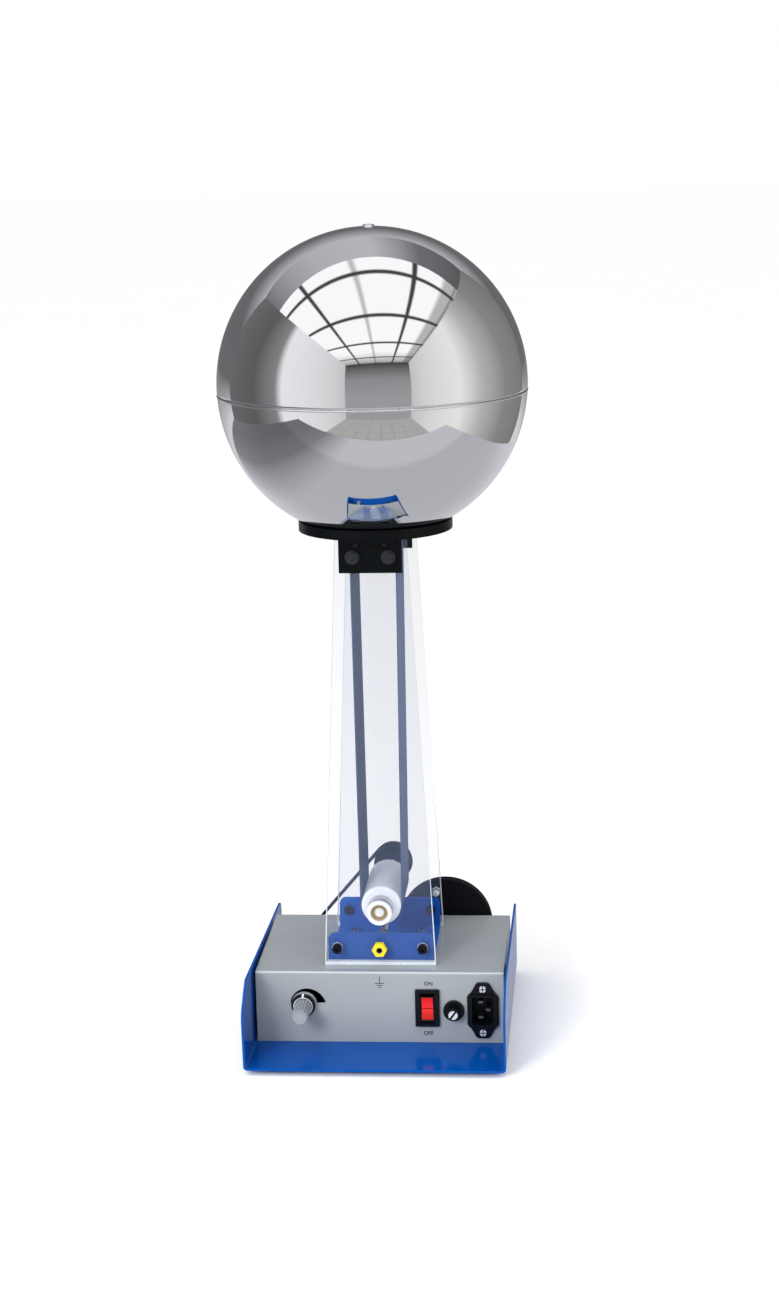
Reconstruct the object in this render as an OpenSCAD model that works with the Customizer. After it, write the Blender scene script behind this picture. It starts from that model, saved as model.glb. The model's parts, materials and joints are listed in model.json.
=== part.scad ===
// Classroom Van de Graaff generator: polished collector dome on a clear tapered tower,
// motor drive and hand wheel, speed-controlled base box in a folded steel tray.
// Millimetres. X to the right, Y to the back, Z up. The origin is on the floor, under the dome.

/* [Base tray] */
// Outer width of the folded tray
tray_w = 225; // [222:1:250]
// Floor edge ahead of the dome axis
tray_front = 138; // [125:1:141]
// Floor edge behind the dome axis
tray_back = 130; // [112:1:140]
// Sheet thickness of the tray
tray_t = 2; // [1:0.5:3]
// Outer bend radius between floor and side plates
bend_r = 4; // [3.5:0.5:6]
// Foremost point of the side plates ahead of the axis
nose_y = 142; // [140:1:150]
// Height of that foremost point above the tray's underside
nose_h = 52; // [40:1:60]
// Front end of the side plates' top edge, ahead of the axis
plate_top_y = 112; // [95:1:125]
// Height of the side plates at their front
plate_front_h = 73; // [68:1:90]
// Height of the side plates at their back
plate_back_h = 64; // [60:1:90]
// Corner radius of the side plates
plate_r = 8; // [4:1:12]
// Height of the rubber feet
foot_h = 4; // [2:0.5:8]
// Diameter of the rubber feet
foot_d = 16; // [12:1:22]
// Distance of the feet from the tray's edges
foot_inset = 18; // [14:1:24]

/* [Control box] */
// Gap between the box and each side plate of the tray
box_side_gap = 2; // [1:0.5:3]
// Front panel ahead of the axis
box_front = 73; // [70:1:80]
// Rear panel behind the axis
box_back = 84; // [82:0.5:84.5]
// Top of the box above the tray's underside
box_h = 66.5; // [62:0.5:75]
// Sheet thickness of the box
box_t = 1.2; // [1:0.1:1.6]
// Outer bend radius along the top edges
box_bend_r = 2.5; // [1.6:0.1:4]

/* [Tower] */
// Width of the clear sheets at their foot
sheet_foot_w = 98; // [96:1:104]
// Width of the clear sheets under the collar
sheet_top_w = 61; // [58:1:66]
// Overall depth over the two sheets
tower_d = 111.2; // [108:0.2:112]
// Thickness of the clear sheets
sheet_t = 5; // [4:0.5:6]
// Height of the collar's underside above the tray's underside
collar_h = 446.3; // [400:0.1:520]
// Width of the tongues that pass through the collar
tongue_w = 28; // [24:1:30]
// Length of the tongues above the collar's underside
tongue_l = 64; // [60:1:70]
// Width of the foot bracket
bracket_w = 92; // [86:1:94]
// Height of the foot bracket's flanges
bracket_h = 28; // [25:1:32]
// Sheet thickness of the foot bracket
bracket_t = 2; // [1.5:0.5:3]
// Distance between the tower screws across the foot
foot_screw_pitch = 74.8; // [70:0.2:80]
// Height of the tower screws and the earth socket above the box
foot_screw_h = 16.5; // [14:0.5:18]

/* [Rollers and belts] */
// Height of the lower roller's axis above the box
lower_axis_h = 48.5; // [46:0.5:56]
// Diameter of the lower roller
lower_d = 34.6; // [30:0.2:36]
// Height of the upper roller's axis above the collar's underside
upper_axis_h = 28; // [26:0.5:32]
// Diameter of the upper roller
upper_d = 38.6; // [34:0.2:42]
// Length of both rollers
roller_l = 84; // [80:1:86]
// Centre of the rollers behind the dome axis
roller_y = 4; // [3:0.5:4]
// Width of the charge belt
belt_w = 76; // [60:1:80]
// Thickness of the charge belt
belt_t = 1; // [0.6:0.1:1.5]
// Shaft diameter of the lower roller
shaft_d = 8; // [6:0.5:9]
// Diameter of the white bearing housings
housing_d = 22.4; // [20:0.2:26]
// Outer diameter of the bronze bushes
bush_d = 15; // [12:0.5:16]
// Plane of the round drive belt behind the axis
drive_y = 94; // [93.5:0.5:96]
// Pitch diameter of the roller's drive pulley
drive_pulley_d = 33.6; // [28:0.2:36]
// Pitch diameter of the motor pulley
motor_pulley_d = 14; // [12:0.5:18]
// Diameter of the round drive belt
cord_d = 3.2; // [2.4:0.2:4]

/* [Motor and hand wheel] */
// Motor axis in from the box's left side
motor_x = 26.5; // [25.5:0.5:30]
// Motor axis above the tray's underside
motor_z = 34; // [30:0.5:38]
// Diameter of the motor can
motor_d = 44; // [36:1:46]
// Length of the motor can
motor_l = 62; // [50:1:70]
// Hand wheel axis to the right of the dome axis
wheel_x = 48.5; // [46:0.5:56]
// Hand wheel axis above the tray's underside
wheel_z = 56; // [50:0.5:57]
// Diameter of the hand wheel
wheel_d = 86; // [76:1:90]
// Thickness of the hand wheel's rim
wheel_t = 10; // [8:0.5:11]
// Distance of the crank pin from the wheel's edge
crank_inset = 12; // [11.5:0.5:20]
// Diameter of the crank knob
crank_knob_d = 18; // [14:1:20]
// Length of the crank knob
crank_knob_l = 41.3; // [28:0.1:46]

/* [Dome] */
// Outer radius of the dome
dome_r = 132.9; // [120:0.1:150]
// Wall of the spun hemispheres
dome_t = 1; // [0.8:0.1:1.5]
// Seam below the dome's centre
seam_drop = 6; // [0:0.5:12]
// Width of the collar's lip outside the dome
collar_lip = 2.2; // [2:0.1:8]
// Thickness of the black collar
collar_t = 8.7; // [7:0.1:12]

/* [Front panel] */
// Speed knob in from the box's left side
knob_x = 42; // [30:0.5:53]
// Speed knob above the tray's underside
knob_z = 37; // [30:0.5:40]
// Reach of the speed knob ahead of the panel
knob_reach = 35; // [26:0.5:38]
// Diameter of the fluted knob
knob_d = 15.4; // [13:0.2:18]
// Diameter of the knob's skirt
skirt_d = 21.6; // [18:0.2:26]
// Rocker switch to the left of the fuse holder
switch_x = 23; // [21:0.2:27]
// Rocker switch above the tray's underside
switch_z = 34.2; // [32:0.2:36]
// Fuse holder to the left of the mains inlet
fuse_x = 25.4; // [24:0.2:28]
// Fuse holder above the tray's underside
fuse_z = 32; // [28:0.5:36]
// Mains inlet in from the box's right side
inlet_x = 18.3; // [17:0.1:19.5]
// Mains inlet above the tray's underside
inlet_z = 32.5; // [30:0.5:34]
// Diameter of the test-plug sockets
plug_d = 4; // [4:0.1:4]

/* [Hidden] */

// Gap of a running fit, gap between separate bodies, and play of a fixed fit
run_fit = 0.05;
body_gap = 0.3;
fixed_fit = 0.05;
hole_play = 0.2;
// Facets of round features; the exact rebuild needs no more
$fn = 48;

tray_z = foot_h;
floor_z = tray_z + tray_t;
box_top = tray_z + box_h;
box_in_top = box_top - box_t;
half_tray = tray_w / 2;
half_box = half_tray - tray_t - box_side_gap;
face_y = tower_d / 2;
inner_y = face_y - sheet_t;
collar_z = tray_z + collar_h;
collar_top = collar_z + collar_t;
tongue_top = collar_z + tongue_l;
lower_z = box_top + lower_axis_h;
upper_z = collar_z + upper_axis_h;
lower_r = lower_d / 2;
upper_r = upper_d / 2;
screw_z = box_top + foot_screw_h;
shaft_r = shaft_d / 2;
belt_gap = body_gap;

// The dome's rim clears the tongues by rim_play and stands in a groove on the collar
rim_play = 1.2;
rim_sink = 1.8;
rim_in = norm([tongue_w / 2, face_y]) + rim_play;
rim_out = sqrt(pow(rim_in, 2) + 2 * dome_r * dome_t - pow(dome_t, 2));
rim_drop = sqrt(pow(dome_r, 2) - pow(rim_out, 2));
dome_z = collar_top - rim_sink + rim_drop;
groove_in = rim_in - body_gap;
groove_out = sqrt(pow(dome_r, 2) - pow(rim_drop - rim_sink, 2)) + body_gap;
collar_r = groove_out + collar_lip;

wheel_pos = [wheel_x, tray_z + wheel_z];
motor_pos = [-half_box + motor_x, tray_z + motor_z];
roller_pos = [0, lower_z];
wheel_front = drive_y - wheel_t / 2;
wheel_back = drive_y + wheel_t / 2;

/* ---------- helpers ---------- */

// Arc points that round the corner b between a and c
function corner(a, b, c, r, n) =
    let (u = (a - b) / norm(a - b), v = (c - b) / norm(c - b),
         half = acos(u * v) / 2,
         centre = b + (u + v) / norm(u + v) * r / sin(half),
         first = b + u * r / tan(half) - centre,
         last = b + v * r / tan(half) - centre,
         a0 = atan2(first[1], first[0]),
         turn = (atan2(last[1], last[0]) - a0 + 540) % 360 - 180)
    [for (i = [0:n]) centre + r * [cos(a0 + turn * i / n), sin(a0 + turn * i / n)]];

// A polygon's points with each corner rounded by its own radius; 0 keeps the corner
function rounded(pts, radii, n = 6) =
    let (m = len(pts))
    [for (i = [0:m - 1]) each radii[i] == 0 ? [pts[i]]
        : corner(pts[(i + m - 1) % m], pts[i], pts[(i + 1) % m], radii[i], n)];

function reversed(pts) = [for (i = [len(pts) - 1:-1:0]) pts[i]];

// A rectangle's corners, counted from the lower left
function rect(w, h) = [[-w / 2, -h / 2], [w / 2, -h / 2], [w / 2, h / 2], [-w / 2, h / 2]];

// The four outer tangent points of two circles
function tangents(a, ra, b, rb) =
    let (d = b - a, th = atan2(d[1], d[0]), ph = acos((ra - rb) / norm(d)),
         up = [cos(th + ph), sin(th + ph)], dn = [cos(th - ph), sin(th - ph)])
    [a + ra * up, b + rb * up, b + rb * dn, a + ra * dn];

// Points round two circles, as a belt's outer or inner edge, with n steps on each arc
function belt_points(a, ra, b, rb, n = 40) =
    let (d = b - a, th = atan2(d[1], d[0]), ph = acos((ra - rb) / norm(d)))
    concat([for (i = [0:n]) let (g = th - ph + 2 * ph * i / n) b + rb * [cos(g), sin(g)]],
           [for (i = [0:n]) let (g = th + ph + (360 - 2 * ph) * i / n) a + ra * [cos(g), sin(g)]]);

// An outline in X and Z, drawn from y0 to y1
module along_y(y0, y1) {
    translate([0, y1, 0]) rotate([90, 0, 0]) linear_extrude(y1 - y0) children();
}

// An outline in Y and Z, drawn from x0 to x1
module along_x(x0, x1) {
    translate([x0, 0, 0]) rotate([90, 0, 90]) linear_extrude(x1 - x0) children();
}

// A cylinder along Y through the point [x, z]
module rod_y(p, y0, y1, r) {
    translate([p[0], y0, p[1]]) rotate([-90, 0, 0]) cylinder(h = y1 - y0, r = r);
}

// A tube along Y
module tube_y(p, y0, y1, r_out, r_in) {
    difference() {
        rod_y(p, y0, y1, r_out);
        rod_y(p, y0 - 1, y1 + 1, r_in);
    }
}

// A tube along Z
module tube_z(p, z0, z1, r_out, r_in) {
    translate([p[0], p[1], z0]) difference() {
        cylinder(h = z1 - z0, r = r_out);
        translate([0, 0, -1]) cylinder(h = z1 - z0 + 2, r = r_in);
    }
}

// A hexagonal nut along Y; flats is its width over flats
module nut_y(p, y0, y1, flats, r_in) {
    difference() {
        translate([p[0], y0, p[1]]) rotate([-90, 30, 0])
            cylinder(h = y1 - y0, r = flats / sqrt(3), $fn = 6);
        rod_y(p, y0 - 1, y1 + 1, r_in);
    }
}

// A cap screw along Y: its head lies on the plane y0 on the side of dir, its shank runs the other way
module cap_screw_y(p, y0, dir, head_r, head_l, shank_r, shank_l, socket_r = 0) {
    head_y = dir < 0 ? y0 - head_l : y0;
    shank_y = dir < 0 ? y0 : y0 - shank_l;
    socket_y = dir < 0 ? y0 - head_l - 1 : y0 + head_l - head_l / 2;
    difference() {
        rod_y(p, head_y, head_y + head_l, head_r);
        if (socket_r > 0) translate([p[0], socket_y, p[1]]) rotate([-90, 30, 0])
            cylinder(h = head_l / 2 + 1, r = socket_r, $fn = 6);
    }
    rod_y(p, shank_y, shank_y + shank_l, shank_r);
}

// Both signs, for what comes in mirrored pairs
SIDES = [-1, 1];

/* ---------- tray ---------- */

function tray_section() =
    rounded([[-half_tray, 200], [-half_tray, 0], [half_tray, 0], [half_tray, 200],
             [half_tray - tray_t, 200], [half_tray - tray_t, tray_t],
             [-half_tray + tray_t, tray_t], [-half_tray + tray_t, 200]],
            [0, bend_r, bend_r, 0, 0, bend_r - tray_t, bend_r - tray_t, 0]);

function plate_outline() =
    rounded([[-tray_front, 0], [tray_back, 0], [tray_back, plate_back_h],
             [-plate_top_y, plate_front_h], [-nose_y, nose_h]],
            [0, plate_r, plate_r, plate_r, plate_r * 2]);

foot_spots = [for (sx = SIDES, y = [-tray_front + foot_inset, tray_back - foot_inset])
    [sx * (half_tray - foot_inset), y]];

board = [90, 66, 1.6];
board_pos = [-38, -18];
board_z = floor_z + 8;
board_top = board_z + board[2];
standoff_spots = [for (x = [5, board[0] - 5], y = [5, board[1] - 5]) board_pos + [x, y]];

// What is screwed down from under the floor: the box's tabs, the motor's foot and the board
tab_spots = [for (sx = SIDES, y = [-box_front + 22, box_back - 60])
    [sx * (half_box - box_t - 7), y]];
motor_foot_spots = [for (sx = SIDES) [motor_pos[0] + sx * 12, box_back - 22]];
floor_screw_r = 1.3;
floor_screw_spots = concat(tab_spots, motor_foot_spots, standoff_spots);

module base_tray() {
    color("royalblue") difference() {
        intersection() {
            translate([0, 0, tray_z]) along_y(-nose_y - 10, tray_back + 10)
                polygon(tray_section());
            translate([0, 0, tray_z]) along_x(-half_tray - 1, half_tray + 1)
                polygon(plate_outline());
        }
        for (p = floor_screw_spots) translate([p[0], p[1], 0])
            cylinder(h = 20, r = floor_screw_r + hole_play);
    }
}

module rubber_feet() {
    color("dimgray") for (p = foot_spots) translate([p[0], p[1], 0]) {
        cylinder(h = foot_h - 1, r1 = foot_d / 2 - 0.8, r2 = foot_d / 2);
        translate([0, 0, foot_h - 1]) cylinder(h = 1, r = foot_d / 2);
    }
}

/* ---------- control box ---------- */

function box_profile(inset, r) =
    rounded([[-box_front + inset, floor_z - (inset > 0 ? 1 : 0)],
             [box_back - inset, floor_z - (inset > 0 ? 1 : 0)],
             [box_back - inset, box_top - inset], [-box_front + inset, box_top - inset]],
            [0, 0, r, r]);

tab_w = 12;
// Bolts that hold the foot bracket down on the box
bracket_bolt_spots = [for (sx = SIDES, sy = SIDES) [sx * 30, sy * 30]];
bracket_bolt_r = 2;
pot_pos = [-half_box + knob_x, tray_z + knob_z];
pot_bush_r = 3.4;
inlet_pos = [half_box - inlet_x, tray_z + inlet_z];
fuse_pos = [inlet_pos[0] - fuse_x, tray_z + fuse_z];
switch_pos = [fuse_pos[0] - switch_x, tray_z + switch_z];
switch_cut = [18, 29];
inlet_cut = [22, 28];
fuse_body_r = 6;
inlet_screw_pitch = 40;
inlet_screw_r = 1.5;
motor_hole_r = 8;
axle_r = 4;
vent_count = 7;
vent_pitch = 7;

// The mirrored positions of the inlet's screws
inlet_screw_spots = [for (sz = SIDES) inlet_pos + [0, sz * inlet_screw_pitch / 2]];

module panel_cut(p, size) {
    translate([p[0] - size[0] / 2, -box_front - 2, p[1] - size[1] / 2])
        cube([size[0], box_t + 4, size[1]]);
}

module control_box() {
    color("darkgray") difference() {
        union() {
            difference() {
                along_x(-half_box, half_box) polygon(box_profile(0, box_bend_r));
                along_x(-half_box + box_t, half_box - box_t)
                    polygon(box_profile(box_t, box_bend_r - box_t));
            }
            for (p = tab_spots) translate([p[0] > 0 ? half_box - box_t / 2 - tab_w - 2
                : -half_box + box_t / 2, p[1] - tab_w / 2, floor_z])
                cube([tab_w + 2, tab_w, box_t]);
        }
        panel_cut(switch_pos, switch_cut);
        panel_cut(inlet_pos, inlet_cut);
        rod_y(fuse_pos, -box_front - 2, -box_front + 4, fuse_body_r + hole_play);
        rod_y(pot_pos, -box_front - 2, -box_front + 4, pot_bush_r + hole_play);
        for (p = inlet_screw_spots)
            rod_y(p, -box_front - 2, -box_front + 4, inlet_screw_r + hole_play);
        rod_y(motor_pos, box_back - 4, box_back + 2, motor_hole_r);
        rod_y(wheel_pos, box_back - 4, box_back + 2, axle_r + hole_play);
        for (i = [0:vent_count - 1]) translate([-34 + i * vent_pitch, box_back - 4, tray_z + 22])
            cube([3, 8, 26]);
        for (p = bracket_bolt_spots) translate([p[0], p[1], box_top - 6])
            cylinder(h = 12, r = bracket_bolt_r + hole_play);
        for (p = tab_spots) translate([p[0], p[1], floor_z - 1])
            cylinder(h = 6, r = floor_screw_r + fixed_fit);
    }
}

module floor_screws() {
    color("silver") for (p = floor_screw_spots) translate([p[0], p[1], 0]) {
        translate([0, 0, tray_z - 1.8]) cylinder(h = 1.8, r = 2.8);
        translate([0, 0, tray_z]) cylinder(h = 7, r = floor_screw_r);
    }
}

/* ---------- mains inlet ---------- */

inlet_w = 27.2;
inlet_body_h = 31.8;
inlet_ear_h = 50.6;
inlet_ear_foot = 20;
inlet_ear_w = 10.6;
inlet_shoulder = 3;
inlet_flange_t = 2.6;
inlet_lip = 3.6;
inlet_cavity = [18.5, 25.4];
inlet_depth = 22;

// Half of the inlet's outline, from its side over the ear: shoulder, foot and end of the ear
function inlet_quarter(sx, sz) =
    let (w = inlet_w / 2, b = inlet_body_h / 2, e = inlet_ear_h / 2, foot = inlet_ear_foot / 2)
    [[sx * w, sz * (b - inlet_shoulder)], [sx * (foot + 0.6), sz * b], [sx * foot, sz * (b + 0.6)],
     [sx * inlet_ear_w / 2, sz * e]];

function inlet_outline() =
    rounded(concat(inlet_quarter(-1, -1), reversed(inlet_quarter(1, -1)), inlet_quarter(1, 1),
                   reversed(inlet_quarter(-1, 1))),
            [1.5, 0.3, 0.3, 3.5, 3.5, 0.3, 0.3, 1.5, 1.5, 0.3, 0.3, 3.5, 3.5, 0.3, 0.3, 1.5]);

module power_inlet() {
    front = -box_front - inlet_flange_t;
    color("black") difference() {
        translate([inlet_pos[0], 0, inlet_pos[1]]) union() {
            along_y(front, -box_front) polygon(inlet_outline());
            along_y(front - inlet_lip + 2, front + 1)
                polygon(rounded(rect(inlet_w - 2, inlet_body_h - 2), [2, 2, 2, 2]));
            along_y(-box_front - 1, -box_front + inlet_depth)
                polygon(rounded(rect(inlet_cut[0] - 0.4, inlet_cut[1] - 0.4), [1, 1, 1, 1]));
        }
        translate([inlet_pos[0], 0, inlet_pos[1]]) along_y(front - 6, -box_front + 14)
            polygon(rounded(rect(inlet_cavity[0], inlet_cavity[1]), [1, 4, 4, 1]));
        for (p = inlet_screw_spots) rod_y(p, front - 6, -box_front + 6, inlet_screw_r + hole_play);
        for (p = pin_spots) translate([p[0] - pin_size[0] / 2 - fixed_fit, -box_front,
            p[1] - pin_size[1] / 2 - fixed_fit])
            cube([pin_size[0] + 2 * fixed_fit, inlet_depth + 4, pin_size[1] + 2 * fixed_fit]);
    }
}

pin_size = [4, 2];
pin_spots = [for (d = [[-2, -7], [-2, 7], [4.5, 0]]) inlet_pos + d];
pin_front = -box_front;
tab_out = 7;

module inlet_pins() {
    color("silver") for (p = pin_spots)
        translate([p[0] - pin_size[0] / 2, pin_front, p[1] - pin_size[1] / 2])
            cube([pin_size[0], inlet_depth + tab_out, pin_size[1]]);
}

module inlet_screws() {
    color("silver") for (p = inlet_screw_spots) {
        cap_screw_y(p, -box_front - inlet_flange_t, -1, 2.9, 1.8, inlet_screw_r, 10);
        nut_y(p, -box_front + box_t, -box_front + box_t + 2.4, 5.5, inlet_screw_r + fixed_fit);
    }
}

/* ---------- fuse holder ---------- */

fuse_flange_r = 9.2;
fuse_flange_t = 3;
fuse_holder_l = 26;
fuse_bore_r = 4.2;
fuse_cap_r = 5.5;
fuse_cap_l = 10.2;
fuse_r = 2.6;
fuse_l = 20;
fuse_end_l = 5;
fuse_front = -box_front - fuse_flange_t;
fuse_y = -box_front - 1;

module fuse_holder() {
    color("black") difference() {
        union() {
            rod_y(fuse_pos, fuse_front, -box_front, fuse_flange_r);
            rod_y(fuse_pos, -box_front, -box_front + fuse_holder_l, fuse_body_r);
            nut_y(fuse_pos, -box_front + box_t, -box_front + box_t + 4, 15, fuse_body_r - 1);
            translate([fuse_pos[0] - 2, -box_front + fuse_holder_l - 1, fuse_pos[1] - 0.4])
                cube([4, 7, 0.8]);
            translate([fuse_pos[0] - 0.4, -box_front + fuse_holder_l - 6, fuse_pos[1]])
                cube([0.8, 4, fuse_body_r + 7]);
        }
        rod_y(fuse_pos, fuse_front - 1, fuse_y + fuse_l + body_gap, fuse_bore_r);
    }
}

module fuse_cap() {
    color("black") difference() {
        union() {
            rod_y(fuse_pos, fuse_front - body_gap - fuse_cap_l, fuse_front - body_gap, fuse_cap_r);
            rod_y(fuse_pos, fuse_front - body_gap, fuse_y + 4, fuse_bore_r - body_gap);
        }
        rod_y(fuse_pos, fuse_y - body_gap, fuse_y + 10, fuse_r + run_fit);
        translate([fuse_pos[0] - 5, fuse_front - fuse_cap_l - 1.5, fuse_pos[1] - 0.7])
            cube([10, 2.6, 1.4]);
    }
}

module fuse_glass() {
    color("lightcyan") rod_y(fuse_pos, fuse_y + fuse_end_l, fuse_y + fuse_l - fuse_end_l,
        fuse_r - 0.3);
}

module fuse_ends() {
    color("silver") for (y = [fuse_y, fuse_y + fuse_l - fuse_end_l])
        rod_y(fuse_pos, y, y + fuse_end_l, fuse_r);
}

/* ---------- rocker switch ---------- */

bezel_size = [21.2, 33.7];
bezel_t = 2.6;
rocker_open = [12.4, 27.4];
rocker_w = 11.6;
rocker_pivot_y = -box_front + 5;
rocker_tilt = 8;
switch_depth = 24;
switch_pin_r = 1.2;

module switch_body() {
    front = -box_front - bezel_t;
    color("black") translate([switch_pos[0], 0, switch_pos[1]]) {
        difference() {
            union() {
                along_y(front, -box_front)
                    polygon(rounded(rect(bezel_size[0], bezel_size[1]), [1, 1, 1, 1]));
                along_y(-box_front - 0.5, -box_front + switch_depth)
                    polygon(rect(switch_cut[0] - 0.4, switch_cut[1] - 0.4));
            }
            along_y(front - 1, -box_front + 17) polygon(rect(rocker_open[0], rocker_open[1]));
        }
        translate([-rocker_open[0] / 2, rocker_pivot_y, 0]) rotate([0, 90, 0])
            cylinder(h = rocker_open[0], r = switch_pin_r);
        for (x = [-4, 4], z = [-8, 8]) translate([x - 2, -box_front + switch_depth - 0.5, z - 0.4])
            cube([4, 8.5, 0.8]);
    }
}

function rocker_outline() =
    rounded([[-8, 12.2], [-5.6, 0], [-8, -12.2], [-1, -11.8], [3.4, -3], [3.4, 3], [-1, 11.8]],
            [0.8, 4, 0.8, 1, 1, 1, 1]);

module switch_rocker() {
    color("red") translate([switch_pos[0], rocker_pivot_y, switch_pos[1]])
        rotate([rocker_tilt, 0, 0]) difference() {
            along_x(-rocker_w / 2, rocker_w / 2) polygon(rocker_outline());
            translate([-rocker_w, 0, 0]) rotate([0, 90, 0])
                cylinder(h = 2 * rocker_w, r = switch_pin_r + run_fit);
        }
}

/* ---------- speed control ---------- */

pot_r = 11;
pot_l = 12;
pot_bush_l = 4.7;
pot_shaft_r = 3;
skirt_t = 3;
knob_front = -box_front - knob_reach;
knob_back = -box_front - 8;
flute_count = 18;

module speed_pot() {
    y0 = -box_front + box_t;
    color("slategray") difference() {
        union() {
            rod_y(pot_pos, y0, y0 + pot_l, pot_r);
            rod_y(pot_pos, -box_front - pot_bush_l, y0 + 1, pot_bush_r);
            for (x = [-5, 0, 5]) translate([pot_pos[0] + x - 1, y0 + 3, pot_pos[1] - pot_r - 6])
                cube([2, 0.8, 8]);
        }
        rod_y(pot_pos, -box_front - pot_bush_l - 1, y0 + pot_l - 2, pot_shaft_r + run_fit);
    }
}

module pot_nut() {
    color("silver") nut_y(pot_pos, -box_front - 3, -box_front, 12, pot_bush_r + fixed_fit);
}

module pot_shaft() {
    color("silver") rod_y(pot_pos, knob_front + 8, -box_front + box_t + pot_l - 2 - body_gap,
        pot_shaft_r);
}

module knob_skirt() {
    color("black") difference() {
        union() {
            translate([pot_pos[0], knob_back + skirt_t, pot_pos[1]]) rotate([90, 0, 0])
                cylinder(h = skirt_t, r1 = skirt_d / 2, r2 = skirt_d / 2 - 1.2);
            translate([pot_pos[0] - 0.8, knob_back - 0.5, pot_pos[1] + knob_d / 2 + 0.2])
                cube([1.6, 1, skirt_d / 2 - knob_d / 2 - 1.5]);
        }
        rod_y(pot_pos, knob_back - 2, knob_back + skirt_t + 2, pot_shaft_r + fixed_fit);
    }
}

module speed_knob() {
    color("gray") difference() {
        union() {
            translate([pot_pos[0], knob_back, pot_pos[1]]) rotate([90, 0, 0])
                cylinder(h = knob_back - knob_front - 1, r1 = knob_d / 2, r2 = knob_d / 2 - 0.5);
            translate([pot_pos[0], knob_front + 1, pot_pos[1]]) rotate([90, 0, 0])
                cylinder(h = 1, r1 = knob_d / 2 - 0.5, r2 = knob_d / 2 - 1.5);
        }
        rod_y(pot_pos, knob_front + 8 - body_gap, knob_back + 1, pot_shaft_r + fixed_fit);
        for (i = [0:flute_count - 1]) let (a = i * 360 / flute_count)
            rod_y(pot_pos + (knob_d / 2 + 0.5) * [cos(a), sin(a)], knob_front - 1, knob_back - 1.2,
                0.9);
    }
}

/* ---------- tower foot ---------- */

flange_r = 6;
bracket_face = inner_y - fixed_fit;
earth_pos = [0, screw_z];
socket_shank_r = 4;
tower_screw_r = 2.5;
tower_screw_spots = [for (sx = SIDES) [sx * foot_screw_pitch / 2, screw_z]];

function flange_outline() =
    rounded([[-bracket_w / 2, box_top], [bracket_w / 2, box_top],
             [bracket_w / 2, box_top + bracket_h], [-bracket_w / 2, box_top + bracket_h]],
            [0, 0, flange_r, flange_r]);

module foot_bracket() {
    color("mediumblue") difference() {
        union() {
            translate([-bracket_w / 2, -bracket_face, box_top])
                cube([bracket_w, 2 * bracket_face, bracket_t]);
            along_y(-bracket_face, -bracket_face + bracket_t) polygon(flange_outline());
            along_y(bracket_face - bracket_t, bracket_face) polygon(flange_outline());
        }
        for (p = bracket_bolt_spots) translate([p[0], p[1], box_top - 1])
            cylinder(h = 6, r = bracket_bolt_r + hole_play);
        for (p = tower_screw_spots)
            rod_y(p, -inner_y - 5, inner_y + 5, tower_screw_r + hole_play);
        rod_y(earth_pos, -inner_y - 5, -inner_y + 10, socket_shank_r + hole_play);
    }
}

module bracket_bolts() {
    color("silver") for (p = bracket_bolt_spots) {
        translate([p[0], p[1], box_top + bracket_t]) cylinder(h = 2.4, r = 3.8);
        translate([p[0], p[1], box_in_top - 5]) cylinder(h = 5 + box_t + bracket_t, r = bracket_bolt_r);
        translate([p[0], p[1], box_in_top - 3.2]) difference() {
            cylinder(h = 3.2, r = 7 / sqrt(3), $fn = 6);
            translate([0, 0, -1]) cylinder(h = 6, r = bracket_bolt_r - 0.1);
        }
    }
}

/* ---------- clear sheets ---------- */

sheet_z0 = box_top + 0.2;
top_bolt_x = 15.3;
top_bolt_drop = 15;
top_bolt_z = collar_z - top_bolt_drop;
top_bolt_r = 3;
upper_axle_r = 3;
comb_bar_rise = 9;
comb_bar_z = upper_z + upper_r + belt_t + comb_bar_rise;
comb_screw_r = 1.5;
top_bolt_spots = [for (sx = SIDES) [sx * top_bolt_x, top_bolt_z]];
dome_head_h = 31.5;
dome_head_inset = 6.8;
dome_head_pos = [sheet_foot_w / 2 - dome_head_inset, box_top + dome_head_h];
dome_head_r = 2;

module clear_sheet() {
    half_foot = sheet_foot_w / 2;
    half_top = sheet_top_w / 2;
    half_tongue = tongue_w / 2;
    difference() {
        along_y(-sheet_t / 2, sheet_t / 2)
            polygon(rounded([[-half_foot, sheet_z0], [half_foot, sheet_z0],
                [half_top, collar_z - 0.1], [half_tongue, collar_z - 0.1], [half_tongue, tongue_top],
                [-half_tongue, tongue_top], [-half_tongue, collar_z - 0.1],
                [-half_top, collar_z - 0.1]],
                [1, 1, 0, 0, 4, 4, 0, 0]));
        for (p = tower_screw_spots) rod_y(p, -sheet_t, sheet_t, tower_screw_r + hole_play);
        for (p = top_bolt_spots) rod_y(p, -sheet_t, sheet_t, top_bolt_r + hole_play);
        rod_y(roller_pos, -sheet_t, sheet_t, housing_d / 2 + fixed_fit);
        rod_y([0, upper_z], -sheet_t, sheet_t, upper_axle_r + fixed_fit);
        rod_y([0, comb_bar_z], -sheet_t, sheet_t, comb_screw_r + hole_play);
    }
}

module front_sheet() {
    color("aliceblue", 0.4) difference() {
        translate([0, -face_y + sheet_t / 2, 0]) clear_sheet();
        rod_y(earth_pos, -face_y - 2, -inner_y + 2, socket_shank_r + hole_play);
    }
}

module rear_sheet() {
    color("aliceblue", 0.4) difference() {
        translate([0, face_y - sheet_t / 2, 0]) clear_sheet();
        rod_y(dome_head_pos, inner_y - 2, face_y + 2, dome_head_r + hole_play);
    }
}

washer_t = 1;
washer_r = 4.6;
head_l = 5;
head_r = 4.3;

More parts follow.
